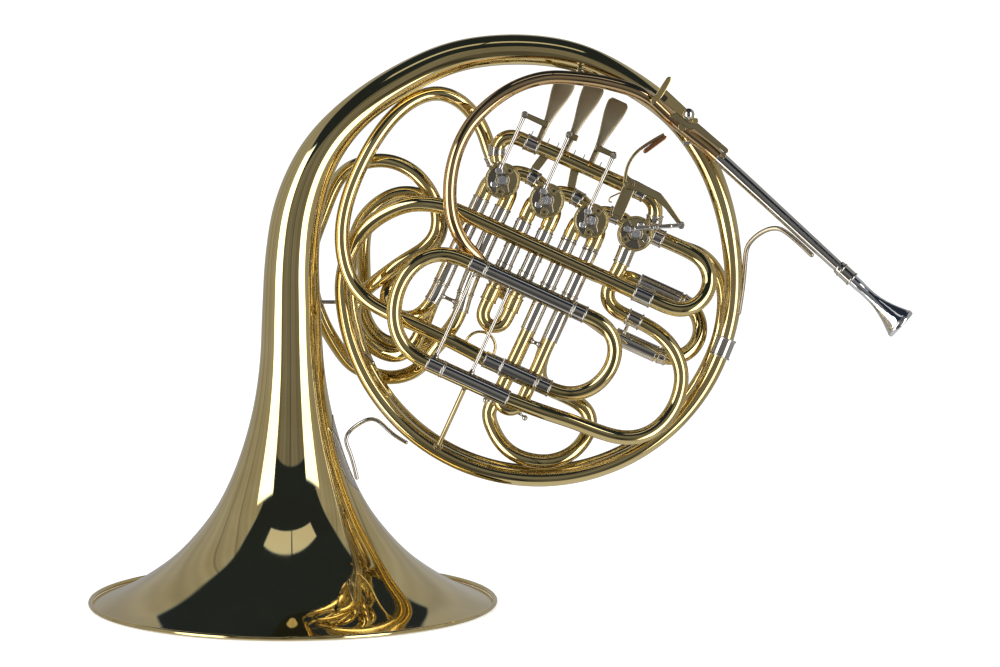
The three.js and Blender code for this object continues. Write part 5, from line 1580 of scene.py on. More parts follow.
@dataclass
class ValveSlides:
    """The front slides of the second and third valves."""

    second_end: float = -74.0
    second_bow: float = -95.0
    second_inside: float = 26.0
    third_end: float = -95.5
    third_bow: float = -147.0
    third_inside: float = 34.0
    brace_up: float = -101.5
    ring_up: float = -121.5
    ring_radius: float = 11.4
    elbow_radius: float = 5.9

    def sleeves(self, valve: int, end: float) -> Shell:
        """The two sleeves of a slide, each with a band below its elbow.

        Args:
            valve: The valve's number, from nought.
            end: How far up the row the sleeves end.

        Returns:
            Both sleeves.
        """
        parts = []
        for side in (-1, 1):
            start = ROW.leg_start(valve, side, ROW.front_level, LEG_SLEEVE)
            knee = start + HORN.up_row * -9.0
            parts.append(sleeve(knee, ROW.leg(valve, side, ROW.front_level, end), LEG_SLEEVE, LEG_SLIDE))
            ring = ROW.leg(valve, side, ROW.front_level, -58.0)
            band = beaded(4.6 if valve == 1 else 2.0, LEG_SLEEVE - 0.3, LEG_SLEEVE + 0.2, 0.4, 0.9)
            parts.append(turned(band[:, ::-1], ring, HORN.up_row, 36))
        return joined(*parts)

    def bow(self, valve: int, end: float, bow: float, inside: float) -> Way:
        """The bow that slides in the two sleeves."""
        leg = lambda side, up: ROW.leg(valve, side, ROW.front_level, up)
        return Way.through(
            run(leg(-1, end + inside), leg(-1, end - 2)),
            half_turn(leg(-1, bow), leg(1, bow), HORN.up_row * -ROW.port, 9),
            run(leg(1, end - 2), leg(1, end + inside)),
            ease=2.0,
        )

    def build(self, bench: Bench) -> None:
        """Makes sleeves, elbows and bows, the pull ring and the pull knobs."""
        elbows = [
            self.elbow(valve, side, level)
            for valve in range(3) for side in (-1, 1) for level in (ROW.front_level, ROW.rear_level)
        ]
        bench.piece("valve_slide_elbows", joined(*elbows), Finish.BRASS)
        for valve, name, end in ((1, "second", self.second_end), (2, "third", self.third_end)):
            outer = self.sleeves(valve, end)
            bench.piece(f"{name}_slide_outer", outer, Finish.NICKEL, nodes=[f"{name}_valve_sleeves"])
        bow = self.bow(1, self.second_end, self.second_bow, self.second_inside)
        bench.tube("second_valve_bow", bow.tube(LEG_SLIDE), "second_valve_bow")
        bands = [collar(bow, place, 12.0, LEG_SLIDE, 0.9) for place in (33.6, bow.length - 33.6)]
        bench.piece("second_valve_bow_bands", joined(*bands), Finish.BRASS, "second_valve_bow")
        bench.piece("second_pull_ring", self.pull_ring(), Finish.BRASS, "second_valve_bow")
        third = self.bow(2, self.third_end, self.third_bow, self.third_inside)
        bench.tube("third_valve_bow", third.tube(LEG_SLIDE), "third_valve_bow")
        ends = [ROW.leg(2, side, ROW.front_level, self.brace_up) for side in (-1, 1)]
        knobs = joined(self.pull_knobs(), spool(*ends))
        bench.piece("third_pull_knobs", knobs, Finish.NICKEL, "third_valve_bow")

    def elbow(self, valve: int, side: int, level: float) -> Shell:
        """The bend by which a leg leaves its casing.

        Args:
            valve: The valve's number, from nought.
            side: -1 for the left leg, 1 for the right.
            level: How far behind the ring's plane the leg is.

        Returns:
            The bend.
        """
        across, up = ROW.centre(valve)
        table = np.array([(1.0, -2.5), (5.5, -2.8), (8.6, -6.0), (9.0, -10.5), (9.0, -18.0)])
        points = HORN.on_row(across + side * table[:, 0], level, up + table[:, 1])
        return Way.through(points, ease=1.0, spacing=0.8).tube(self.elbow_radius)

    def pull_ring(self) -> Shell:
        """A wire ring on a short stem below the second valve's bow."""
        centre = HORN.on_row(ROW.pitch, ROW.front_level, self.ring_up)
        bottom = self.second_bow - ROW.port - 0.6 * LEG_SLIDE
        start = HORN.on_row(ROW.pitch, ROW.front_level, bottom)
        length = bottom - self.ring_up - self.ring_radius + 0.4
        profile = [(2.6, 0), (1.8, 1.6), (1.3, 0.5 * length), (1.9, length)]
        stem = turned(profile, start, -HORN.up_row, 20, 0.4)
        return joined(hoop(self.ring_radius, 1.15, centre, BACK), stem)

    def pull_knobs(self) -> Shell:
        """Two small balls on stems at the corners of the third valve's bow."""
        corner = ROW.port * math.sqrt(0.5)
        parts = []
        for side in (-1, 1):
            root = HORN.on_row(2 * ROW.pitch + side * corner, ROW.front_level, self.third_bow - corner)
            tip = HORN.on_row(2 * ROW.pitch + side * (ROW.port + 7.3), ROW.front_level, self.third_bow - 9.5)
            way = unit(tip - root)
            start = root + way * 0.7 * LEG_SLIDE
            length = float(np.linalg.norm(tip - start))
            parts.append(turned([(1.9, 0), (1.4, 2.4), (1.0, 3.6), (1.0, length)], start, way, 16))
            parts.append(ball(2.2, tip))
        return joined(*parts)


# Leadpipe and mouthpiece


@dataclass
class Leadpipe:
    """The leadpipe with its receiver, the rose brass loop behind it and the mouthpiece."""

    start: tuple[float, float, float] = (717, 157, -1.8)
    end: tuple[float, float, float] = (851, 280, -2)
    mouth_end: tuple[float, float, float] = (900.5, 325.5, -2)
    radius: float = 5.2
    pipe: float = 4.3
    receiver: float = 6.0
    receiver_length: float = 12.0
    loop: Table = (
        (690, 135, -1.9), (672, 121, -2.2), (644, 97, -2.7), (606, 84.5, -3), (575, 80, -3.05),
        (548, 79, -3.1), (521, 86, -3.1), (498, 99, -3.1), (475, 120, -3.1), (460, 145, -3.4),
        (452, 172, -3.7), (450, 198, -3.75), (453, 221, -3.65), (462, 241, -3.2), (470, 251, -2.8),
        (479, 259, -2.55),
    )
    run_back: float = -25.0
    run_up: float = -66.8
    straight: tuple[float, float] = (14.0, 96.0)
    rise: tuple[float, float, float] = (600, 326, -1)
    into_slide: tuple[float, float] = (121.4, 126.1)
    shank: float = 11.0
    mouth_shares: Table = (
        (4.35, 0), (4.4, 0.12), (4.1, 0.2), (4.0, 0.3), (4.25, 0.42), (4.8, 0.5), (5.9, 0.6), (7.4, 0.7),
        (9.1, 0.79), (10.6, 0.86), (11.4, 0.9), (11.5, 0.915), (12.3, 0.925), (12.5, 0.95), (12.3, 0.985),
        (11.4, 1), (9.8, 0.996), (8.8, 0.975), (7.6, 0.92), (5.6, 0.84), (3.4, 0.72), (1.8, 0.55), (1.6, 0.3),
    )

    def build(self, bench: Bench) -> None:
        """Makes the pipe, the receiver, the loop and the mouthpiece."""
        start, end = HORN.at([self.start, self.end])
        way = unit(end - start)
        length = float(np.linalg.norm(end - start))
        taper = [
            (self.radius, 0.3), (self.radius - 0.1, 30), (self.pipe + 0.3, length - 45),
            (self.pipe, length - 14), (self.pipe, length - 10),
        ]
        pipe = turned(taper, start, way)
        cup = beaded(self.receiver_length, self.pipe + 0.2, self.receiver - 0.5, 0.5, 1.8)
        socket = turned(cup[:, ::-1], end - way * self.receiver_length / 2, way)
        step = [(self.pipe, -15.2), (self.receiver - 0.7, -14.8), (self.receiver - 0.6, -11.5)]
        neck = turned(step, end, way, corner=0.8)
        bench.piece("leadpipe_stem", joined(pipe, socket, neck), Finish.NICKEL, nodes=["leadpipe"])
        slide = MainSlide()
        loop_way = Way.through(
            start + way * 0.3,
            start - way * HORN.layer,
            HORN.at(self.loop),
            run(*HORN.on_row(np.array(self.straight), self.run_back, self.run_up)),
            HORN.at([self.rise]),
            HORN.on_row(np.array(self.into_slide), slide.front_back, slide.low),
        )
        bench.tube("leadpipe_loop", loop_way.tube(self.radius), finish=Finish.ROSE)
        line = hoop(self.radius, 0.22, start + way * 0.3, way)
        bench.piece("leadpipe_joint_line", line, Finish.NICKEL)
        mouthpiece = self.mouthpiece(end, way)
        bench.piece("mouthpiece_turned", mouthpiece, Finish.SILVER, "mouthpiece", ["mouthpiece"])

    def mouthpiece(self, end: Array, way: Array) -> Shell:
        """The mouthpiece as one lathe: shank, neck, funnel, rim and the cup inside.

        Args:
            end: The receiver's end.
            way: The pipe's direction.

        Returns:
            The mouthpiece.
        """
        length = float(np.linalg.norm(HORN.at([self.mouth_end])[0] - end))
        shank = [(2.0, -self.shank), (4.2, -self.shank)]
        profile = shank + [(radius, share * length) for radius, share in self.mouth_shares]
        return turned(profile, end, way, 64, 0.9)


# Valves


@dataclass(frozen=True)
class Valve:
    """A valve's casing with its stop plate, bumpers and cap, its stop arm and the crossover beside it."""

    number: int
    name: str
    rest: float = 135.0
    change_rest: float = 177.5
    stop_radius: float = 7.2
    arm_front: float = -29.2
    arm_thickness: float = 2.2
    eye_front: float = -33.2
    bumper_orbit: float = 9.0
    bumper_beyond: float = 33.0
    arch_radius: float = 5.7
    # Front of the sectors of painted shade and painted reflection on the stop plate.
    painted_sector_front: float = ROW.front - ROW.plate + 0.25
    change_eye: tuple[float, float] = (645.4, 239.7)
    arm_half: Table = (
        (9.4, 0.9), (8.6, 2.1), (7.2, 2.7), (4.6, 3.5), (0, 5.0), (-3.4, 3.6), (-6.2, 2.3), (-9.4, 2.0),
        (-10.3, 1.2),
    )
    centres: Table = ((502.5, 181.1), (546.6, 201.2), (590.6, 221.3))
    arch: Table = ((5.5, -7.0), (15.0, -7.8), (26.5, -4.6), (35.5, 1.0), (42.5, 9.0), (47.0, 16.0))
    last_arch: Table = ((5.5, -7.0), (15.0, -7.8), (25.0, -5.0), (33.0, -1.0), (39.0, 5.0))

    @property
    def changes(self) -> bool:
        """Whether this is the change valve, whose arm turns the other way."""
        return self.number == 3

    @property
    def centre(self) -> tuple[float, float]:
        """Across and up of the valve's axis."""
        return ROW.centre(self.number)

    @property
    def resting(self) -> float:
        """The angle of the stop arm's screw at rest, in degrees."""
        return self.change_rest if self.changes else self.rest

    def casing(self) -> Shell:
        """A casing: a drum with a raised band at each end and a thin groove beside it."""
        across, up = self.centre
        length = ROW.rear - ROW.front
        profile = [
            (11.0, 0), (13.4, 0), (13.4, 2.2), (13.0, 2.5), (13.0, 3.2), (13.25, 3.4), (13.25, 4.0),
            (13.0, 4.2), (13.0, length - 4.2), (13.3, length - 4.0), (13.3, length), (11.0, length),
        ]
        return turned(profile, HORN.on_row(across, ROW.front, up), BACK, 64, 0.15)

    def stop_plate(self) -> Shell:
        """The stop plate in front of a casing, with a raised rim."""
        across, up = self.centre
        profile = [(3.4, 0.4), (11.5, 0.4), (11.6, 0), (12.2, 0), (12.4, 0.2), (12.4, 2.2), (3.4, 2.2)]
        return turned(profile, HORN.on_row(across, ROW.front - ROW.plate, up), BACK, 56, 0.15)

    def cap(self) -> Shell:
        """A rear cap with a stepped, softly domed back."""
        across, up = self.centre
        profile = [
            (10.0, 0.1), (12.4, 0.3), (12.5, 1.6), (11.9, 2.3), (9.6, 2.6), (9.2, 2.2), (6.0, 2.5),
            (2.2, 2.95), (1.2, 3.0),
        ]
        return turned(profile, HORN.on_row(across, ROW.rear, up), BACK, 56, 0.25)

    def around(self, degrees: float, radius: float) -> Array:
        """The place across and up at an angle and a distance from a valve's axis."""
        angle = math.radians(degrees)
        return np.array(self.centre) + radius * np.array([math.cos(angle), math.sin(angle)])

    def screw_place(self) -> Array:
        """The place across and up of the rod's screw on a stop arm at rest."""
        return self.around(self.resting, self.stop_radius)

    def bumpers(self) -> tuple[Shell, Shell]:
        """The corks and the brass brackets that hold them."""
        plate_front = ROW.front - ROW.plate
        turn = -90.0 if self.changes else 90.0
        beyond = math.copysign(self.bumper_beyond, turn)
        opposite = self.resting + 180
        corks, holders = [], []
        for degrees in (opposite - beyond, opposite + turn + beyond):
            middle = self.around(degrees, self.bumper_orbit)
            corks.append(pin(1.2, 2.4, HORN.on_row(middle[0], plate_front - 1.6, middle[1]), BACK, 20))
            radial = unit(middle - self.centre)
            tangent = np.array([-radial[1], radial[0]])
            corners = ((-2.6, -2.6), (2.4, -2.6), (2.4, 2.6), (-2.6, 2.6))
            outline = [middle + radial * a + tangent * b for a, b in corners]
            holders.append(plate(outline, HORN.on_row, plate_front - 0.5, 1.0, 0.3, 0.1))
        return joined(*corks), joined(*holders)

    def stop_arm(self) -> Shell:
        """A stop arm: waisted bar with its finger, hub, and the rod's screw."""
        centre, screw = np.array(self.centre), self.screw_place()
        way = unit(screw - centre)
        side = np.array([-way[1], way[0]])
        outline = [*self.arm_half, *((a, -b) for a, b in self.arm_half[::-1])]
        bar = [centre + way * a + side * b for a, b in outline]
        front, thickness = self.arm_front, self.arm_thickness
        pin_start = HORN.on_row(screw[0], self.eye_front - 0.3, screw[1])
        return joined(
            plate(bar, HORN.on_row, front, thickness, 0.8, 0.5),
            plate(circle(*centre, 5.4), HORN.on_row, front - 0.35, thickness + 0.3, 0.2, 0.5),
            pin(1.15, front - self.eye_front + 1.2, pin_start, BACK),
        )

    def arm_screws(self) -> tuple[Shell, Shell]:
        """The bright screw at a stop arm's hub with the rod's screw, and the dark ring round the first."""
        across, up = self.centre
        heads = joined(
            slotted_head(across, up, 3.4, self.arm_front - 1.6, 1.6, 62.0 + 31 * self.number),
            slotted_head(*self.screw_place(), 2.3, self.eye_front - 1.3, 1.05, 20.0 + 47 * self.number),
        )
        return heads, hoop(3.85, 0.42, HORN.on_row(across, self.arm_front - 0.3, up), BACK, 10)

    def crossover(self) -> tuple[Shell, Shell]:
        """The arched tube between two casings with its ferrule in the middle."""
        shifts = self.last_arch if self.number == 2 else self.arch
        points = HORN.flat(np.add(self.centres[self.number], shifts), ROW.front_level)
        way = Way.through(points, ease=2.0, spacing=1.0)
        return way.tube(self.arch_radius), collar(way, way.length / 2, 8.4, self.arch_radius, 0.6)

    def painted_sector(self, first: float, last: float, lift: float) -> Shell:
        """A sector on the stop plate between two angles, for the painted shade and the painted reflection on
        it.

        Args:
            first: First angle from the stop arm's rest, in degrees.
            last: Last angle.
            lift: How far it lies behind the front of the painted sectors.

        Returns:
            The sector as a thin plate.
        """
        across, up = self.centre
        turns = np.radians(self.resting + np.array([first, last]))
        arcs = [
            np.stack([across + radius * np.cos(angle), up + radius * np.sin(angle)], axis=1)
            for radius, angle in ((11.3, np.linspace(*turns, 44)), (4.4, np.linspace(*turns[::-1], 24)))
        ]
        return plate(np.concatenate(arcs), HORN.on_row, self.painted_sector_front + lift, 0.4, 0.2, 0.1)

    def discs(self) -> tuple[Shell, Shell, Shell]:
        """The painted shade and the painted reflection on the stop plate, and the screw that holds the plate.
        """
        # The dark sector is painted shade, the pale one a painted reflection.
        dark = self.painted_sector(-32.0, 132.0, 0.0)
        pale = self.painted_sector(136.0, 322.0, 0.06)
        front = self.painted_sector_front
        x, z = self.around(self.resting + (-96.0 if self.changes else 96.0), 7.0)
        screw = joined(
            slotted_head(x, z, 2.1, front - 0.9, 0.95, 30.0 + 40 * self.number),
            hoop(2.45, 0.3, HORN.on_row(x, front - 0.1, z), BACK, 8),
        )
        if self.changes:
            screw = joined(screw, hoop(2.5, 0.45, HORN.spot(*self.change_eye, front - 0.4), BACK, 10))
        return dark, pale, screw

    def build(self, bench: Bench) -> None:
        """Makes the valve; its rotor stays as the frame has it, inside the casing."""
        name, rotor = self.name, f"{self.name}_rotor"
        bench.piece(f"{name}_casing_drum", self.casing(), Finish.BRASS, nodes=[f"{name}_valve_casing"])
        bench.piece(f"{name}_stop_plate", self.stop_plate(), Finish.BRASS)
        bench.piece(f"{name}_cap_turned", self.cap(), Finish.BRASS, nodes=[f"{name}_valve_cap"])
        corks, holders = self.bumpers()
        bench.piece(f"{name}_bumper_corks", corks, Finish.BUMPER_AND_SHADE)
        bench.piece(f"{name}_bumper_holders", holders, Finish.BRASS)
        bench.piece(f"{name}_stop_arm_cut", self.stop_arm(), Finish.ARM, rotor, [f"{name}_valve_stop_arm"])
        heads, ring = self.arm_screws()
        bench.piece(f"{name}_stop_arm_screws", heads, Finish.SILVER, rotor)
        bench.piece(f"{name}_stop_arm_ring", ring, Finish.DARK, rotor)


VALVES = tuple(Valve(number, name) for number, name in enumerate(("first", "second", "third", "change")))


class Valves:
    """The four valves with the painted shade and painted reflection on their stop plates, their screws, and
    the crossovers between them.
    """

    def build(self, bench: Bench) -> None:
        """Makes every valve, then what is joined over several valves."""
        for valve in VALVES:
            valve.build(bench)
        # Dark sectors of painted shade, pale sectors of painted reflection, and the plate screws.
        for name, shells, finish in zip(
            ("stop_plate_painted_shade", "stop_plate_painted_reflection", "stop_plate_screws"),
            zip(*(valve.discs() for valve in VALVES)),
            (Finish.DARK, Finish.KHAKI, Finish.SILVER),
        ):
            bench.piece(name, joined(*shells), finish)
        tubes, bands = zip(*(valve.crossover() for valve in VALVES[:3]))
        bench.piece("crossover_tubes", joined(*tubes), Finish.BRASS)
        bench.piece("crossover_ferrules", joined(*bands), Finish.NICKEL)


# Linkage, levers and springs


@dataclass
class Linkage:
    """The connecting rods between the stop arms and the levers."""

    length: float = 46.6
    radius: float = 1.45
    eye: float = 2.9
    eye_thickness: float = 2.2
    front: float = -33.2
    knuckle: Table = (
        (1.4, 24.0), (2.7, 23.7), (2.7, 21.2), (1.8, 20.9), (1.8, 19.6), (2.5, 19.3), (2.5, 17.6),
        (1.3, 17.2), (1.5, 14.5), (1.8, 9.0), (1.8, 7.8),
    )
    thumb_tip: tuple[float, float] = (680.0, 226.0)

    def rod(self, start: Sequence[float], end: Sequence[float], jointed: bool) -> Shell:
        """A round rod with an eye at each end and a thicker stretch beside each eye.

        Args:
            start: Place across and up of the stop arm's screw.
            end: Place across and up of the lever's joint.
            jointed: Whether the rod has a knuckle before its upper end.

        Returns:
            The rod.
        """
        middle = self.front + self.eye_thickness / 2
        first, last = (HORN.on_row(across, middle, up) for across, up in (start, end))
        length = float(np.linalg.norm(last - first))
        upper = [*(self.knuckle if jointed else ()), (self.radius, 7.0), (1.5, 6.6), (1.6, 6.2), (1.6, 2.0)]
        profile = [(2.0, 2.0), (2.0, 5.2), (1.6, 5.6), (self.radius, 6.2)]
        profile += [(radius, length - before) for radius, before in upper]
        eyes = [
            plate(circle(*point, self.eye), HORN.on_row, self.front, self.eye_thickness, 0.2, 0.35)
            for point in (start, end)
        ]
        return joined(turned(profile, first, last - first, 20, 0.2), *eyes)

    def build(self, bench: Bench) -> None:
        """Makes the four rods."""
        for valve in VALVES:
            name, start = valve.name, valve.screw_place()
            end = HORN.in_row(*self.thumb_tip) if valve.changes else start + (0.0, self.length)
            rod = self.rod(start, end, valve.changes)
            bench.piece(f"{name}_rod_turned", rod, Finish.NICKEL, f"{name}_rod", [f"{name}_valve_rod"])


@dataclass
class FingerLevers:
    """The three finger levers with their cradle and springs."""

    hinge_back: float = -8.0
    hinge_up: float = 37.4
    places: tuple[float, ...] = (12.4, 34.0, 55.6)
    reaches: tuple[float, ...] = (12.4, 36.9, 55.6)
    lengths: tuple[float, ...] = (54.2, 60.2, 56.6)
    lean: float = math.radians(12)
    width: float = 16.4
    thickness: float = 1.5
    arm_up: float = 51.7
    tip_front: float = -36.9
    joint_back: float = -32.1
    names: tuple[str, ...] = ("first", "second", "third")
    outline: Table = (
        (0.0, 0.27), (0.28, 0.3), (0.42, 0.42), (0.6, 0.68), (0.78, 0.93), (0.9, 1), (0.98, 0.99), (1, 0.96),
    )

    def paddle(self, index: int) -> Shell:
        """A paddle: a flat ring carried up from the hinge, wider towards its round end, a little dished.

        Args:
            index: The lever's number, from nought.

        Returns:
            The paddle.
        """
        table = np.asarray(self.outline)
        share = np.linspace(0.03, 1.0, 60)
        widths = np.interp(share, table[:, 0], table[:, 1]) * self.width / 2
        widths = eased(widths[:, None], 2.2, 1.0)[:, 0]
        close = np.clip((1.0 - share) / 0.07, 0.0, 1.0)
        widths = widths * np.sqrt(1 - (1 - close) ** 2 * 0.4)
        lift = share * self.lengths[index]
        bow = 0.9 * np.sin(math.pi * share)
        centres = HORN.on_row(
            self.places[index],
            self.hinge_back + lift * math.sin(self.lean) + bow,
            self.hinge_up + lift * math.cos(self.lean),
        )
        ways = np.gradient(centres, axis=0)
        thick = np.full(60, self.thickness / 2)
        return rings(centres, ways, thick, 28, flat=widths, power=0.7)

    def lever(self, index: int) -> tuple[Shell, Shell]:
        """A lever's paddle with its hub, and the arm that reaches forward to the rod with its tip.

        Args:
            index: The lever's number, from nought.

        Returns:
            The paddle with the hub, and the arm.
        """
        across, reach, up = self.places[index], self.reaches[index], self.arm_up
        rod_across = VALVES[index].screw_place()[0]
        profile = [(1.7, 0), (3.0, 0), (3.0, 1.2), (2.6, 1.6), (2.6, 6.4), (3.0, 6.8), (3.0, 8.0), (1.7, 8.0)]
        hub = turned(profile, self.on_hinge(across - 4.0), HORN.along_row, 28, 0.2)
        stem_back = self.hinge_back + (up - self.hinge_up) * math.tan(self.lean)
        backs = [stem_back + 0.8, (stem_back + self.tip_front) / 2, self.tip_front + 1.2]
        points = Way.through(HORN.on_row(reach, np.array(backs), up), ease=0.5).points
        thick, wide = (np.full(len(points), radius) for radius in (1.4, 1.9))
        arm = rings(points, np.gradient(points, axis=0), thick, 24, flat=wide, reference=UP, power=0.6)
        bar_end = reach + math.copysign(2.0, reach - rod_across)
        outline = [(rod_across, up - 2.0), (bar_end, up - 2.4), (bar_end, up + 2.4), (rod_across, up + 2.0)]
        bar = plate(outline, HORN.on_row, self.tip_front, 2.4, 1.0, 0.5)
        tip = plate(circle(rod_across, up, 2.6), HORN.on_row, self.tip_front, 2.4, 0.2, 0.5)
        return joined(self.paddle(index), hub), joined(arm, bar, tip)

    def on_hinge(self, across: float) -> Array:
        """A point on the hinge's axis."""
        return HORN.on_row(across, self.hinge_back, self.hinge_up)

    def cradle(self) -> Shell:
        """The hinge rod on its two posts."""
        top = self.hinge_up + 1
        eye = [(1.6, 0), (3.0, 0), (3.0, 5), (1.6, 5)]
        posts = []
        for rod, foot, low in ((23.2, 18.6, 18.2), (44.4, 49.6, 16.6)):
            outline = [(rod - 3.6, top), (rod + 3.6, top), (foot + 3.4, low), (foot - 3.4, low)]
            posts.append(plate(outline, HORN.on_row, self.hinge_back - 1.2, 2.4, 1.5, 0.5))
            posts.append(turned(eye, self.on_hinge(rod - 2.5), HORN.along_row, 28, 0.3))
        profile = [(1.0, 0), (1.5, 0.6), (1.5, 64.4), (1.0, 65)]
        rod = turned(profile, self.on_hinge(3.0), HORN.along_row, 20)
        knobs = [ball(2.1, self.on_hinge(across)) for across in (3.6, 67.4)]
        return joined(rod, *posts, *knobs)

    def spring(self, across: float) -> Shell:
        """A coil on either side of a hub: a wire that turns round the hinge while it moves outwards.

        Args:
            across: The hub's middle along the hinge.

        Returns:
            The spring.
        """
        steps = np.arange(0, 25)
        angle = np.radians(30.0) * steps
        aside = np.concatenate([[4.0], 4.8 + 1.05 * steps / 12, [6.9]])
        back = self.hinge_back + np.concatenate([[3.9], 2.6 * np.cos(angle), [2.6]])
        up = self.hinge_up + np.concatenate([[-0.6], 2.6 * np.sin(angle), [7.0]])
        left, right = (HORN.on_row(across + sign * aside, back, up) for sign in (-1, 1))
        return wire(np.concatenate([left[::-1], right]), 0.42, 8, 0.2)

    def build(self, bench: Bench) -> None:
        """Makes levers, cradle and springs."""
        for index, name in enumerate(self.names):
            lever = f"{name}_finger_lever"
            blade, arm = self.lever(index)
            # The paddles' dark colour is painted shade.
            bench.piece(f"{name}_lever_formed", blade, Finish.LEVER, lever, [lever])
            bench.piece(f"{name}_lever_arm", arm, Finish.KHAKI, lever)
            rod_across = VALVES[index].screw_place()[0]
            joint = joined(
                slotted_head(rod_across, self.arm_up, 2.0, self.tip_front - 1.0, 1.1, 35.0 + 50 * index),
                ball(1.7, HORN.on_row(rod_across, self.joint_back, self.arm_up), 20),
            )
            bench.piece(f"{name}_lever_joint", joint, Finish.NICKEL, lever)
            coil = self.spring(self.places[index])
            bench.piece(f"{name}_spring_coil", coil, Finish.STEEL, nodes=[f"{name}_lever_spring"])
        bench.piece("lever_cradle_posts", self.cradle(), Finish.KHAKI, nodes=["lever_cradle"])


@dataclass
class ThumbLever:
    """The thumb lever with its curved strip and pad, and the bracket that carries it."""

    front: float = -28.0
    thickness: float = 2.4
    strip_front: float = -31.6
    strip_depth: float = 6.0
    joint_front: float = -34.5
    pad_front: float = -35.0
    pad_depth: float = 16.0
    tip: tuple[float, float] = (680.0, 226.0)
    pivot: tuple[float, float] = (630.0, 185.0)
    arm: Table = (
        (624.5, 171.5), (629, 178.5), (637, 182), (648, 188), (660, 194), (668, 204), (681.5, 224),
        (678.5, 227.5), (664, 209), (655, 200.5), (644, 195.5), (634, 191.5), (625, 190), (622, 182),
    )
    strip: Table = (
        (623.9, 183), (624.5, 177), (625.9, 170), (628.3, 163.5), (632, 157.5), (637.5, 151.6), (645, 146.2),
        (654, 140.6), (663, 135.6),
    )
    pad: Table = (
        (642, 151.2), (652.6, 143.3), (663.3, 136.7), (665.9, 137.9), (665.2, 139.9), (645.6, 154.2),
        (643.2, 154.5),
    )
    bracket: Table = ((626, 178), (637, 183.5), (621.5, 219), (611, 214))
    bracket_front: float = -25.2
    foot: Table = ((86.2, 9.1), (94.2, 9.1), (94.2, 16.1), (86.2, 16.1))
    foot_front: float = -24.2
    foot_back: float = ROW.front_level - 5.6
    hook: Table = ((622, 192.5), (615, 195.5), (609.5, 198.5), (608.5, 202), (611.5, 203))
    hook_back: float = -24.2

    def tape(self) -> Shell:
        """The strip: a flat tape bent along its pixels, narrow as seen from the front."""
        half = self.strip_depth / 2
        points = Way.through(HORN.flat(self.strip, self.strip_front + half), ease=2.5, spacing=1.0).points
        deep, wide = (np.full(len(points), radius) for radius in (half, 1.25))
        return rings(points, np.gradient(points, axis=0), deep, 32, flat=wide, reference=BACK, power=0.35)

    def build(self, bench: Bench) -> None:
        """Makes the lever, its pad, the bracket and the screws."""
        tip = HORN.in_row(*self.tip)
        lever = joined(
            cut(self.arm, self.front, self.thickness, 2.0, 0.5),
            self.tape(),
            plate(circle(*tip, 2.7), HORN.on_row, self.front, self.thickness, 0.2, 0.5),
            plate(circle(*tip, 2.1), HORN.on_row, self.front - 2.4, 2.6, 0.2, 0.3),
        )
        bench.piece("thumb_lever_formed", lever, Finish.KHAKI, "thumb_lever", ["thumb_lever"])
        pad = cut(self.pad, self.pad_front, self.pad_depth, 1.2, 0.6)
        bench.piece("thumb_lever_pad", pad, Finish.COPPER, "thumb_lever")
        joint = joined(
            slotted_head(*tip, 2.2, self.joint_front, 1.1, 70.0),
            pin(1.1, 4.0, HORN.spot(*self.tip, self.joint_front + 0.9), BACK),
        )
        bench.piece("thumb_lever_joint", joint, Finish.NICKEL, "thumb_lever")
        bracket = joined(
            cut(self.bracket, self.bracket_front, 2.0, 1.5),
            plate(self.foot, HORN.on_row, self.foot_front, self.foot_back - self.foot_front, 0.8, 0.4),
            pin(1.5, 6.5, HORN.spot(*self.pivot, self.front - 1.7), BACK, 20),
            slotted_head(*HORN.in_row(*self.pivot), 2.9, self.front - 2.3, 1.7, 25.0),
            wire(HORN.flat(self.hook, self.hook_back), 0.6, 12, 0.5),
        )
        bench.piece("thumb_bracket_cut", bracket, Finish.KHAKI, nodes=["thumb_bracket"])


# Finger hook and braces


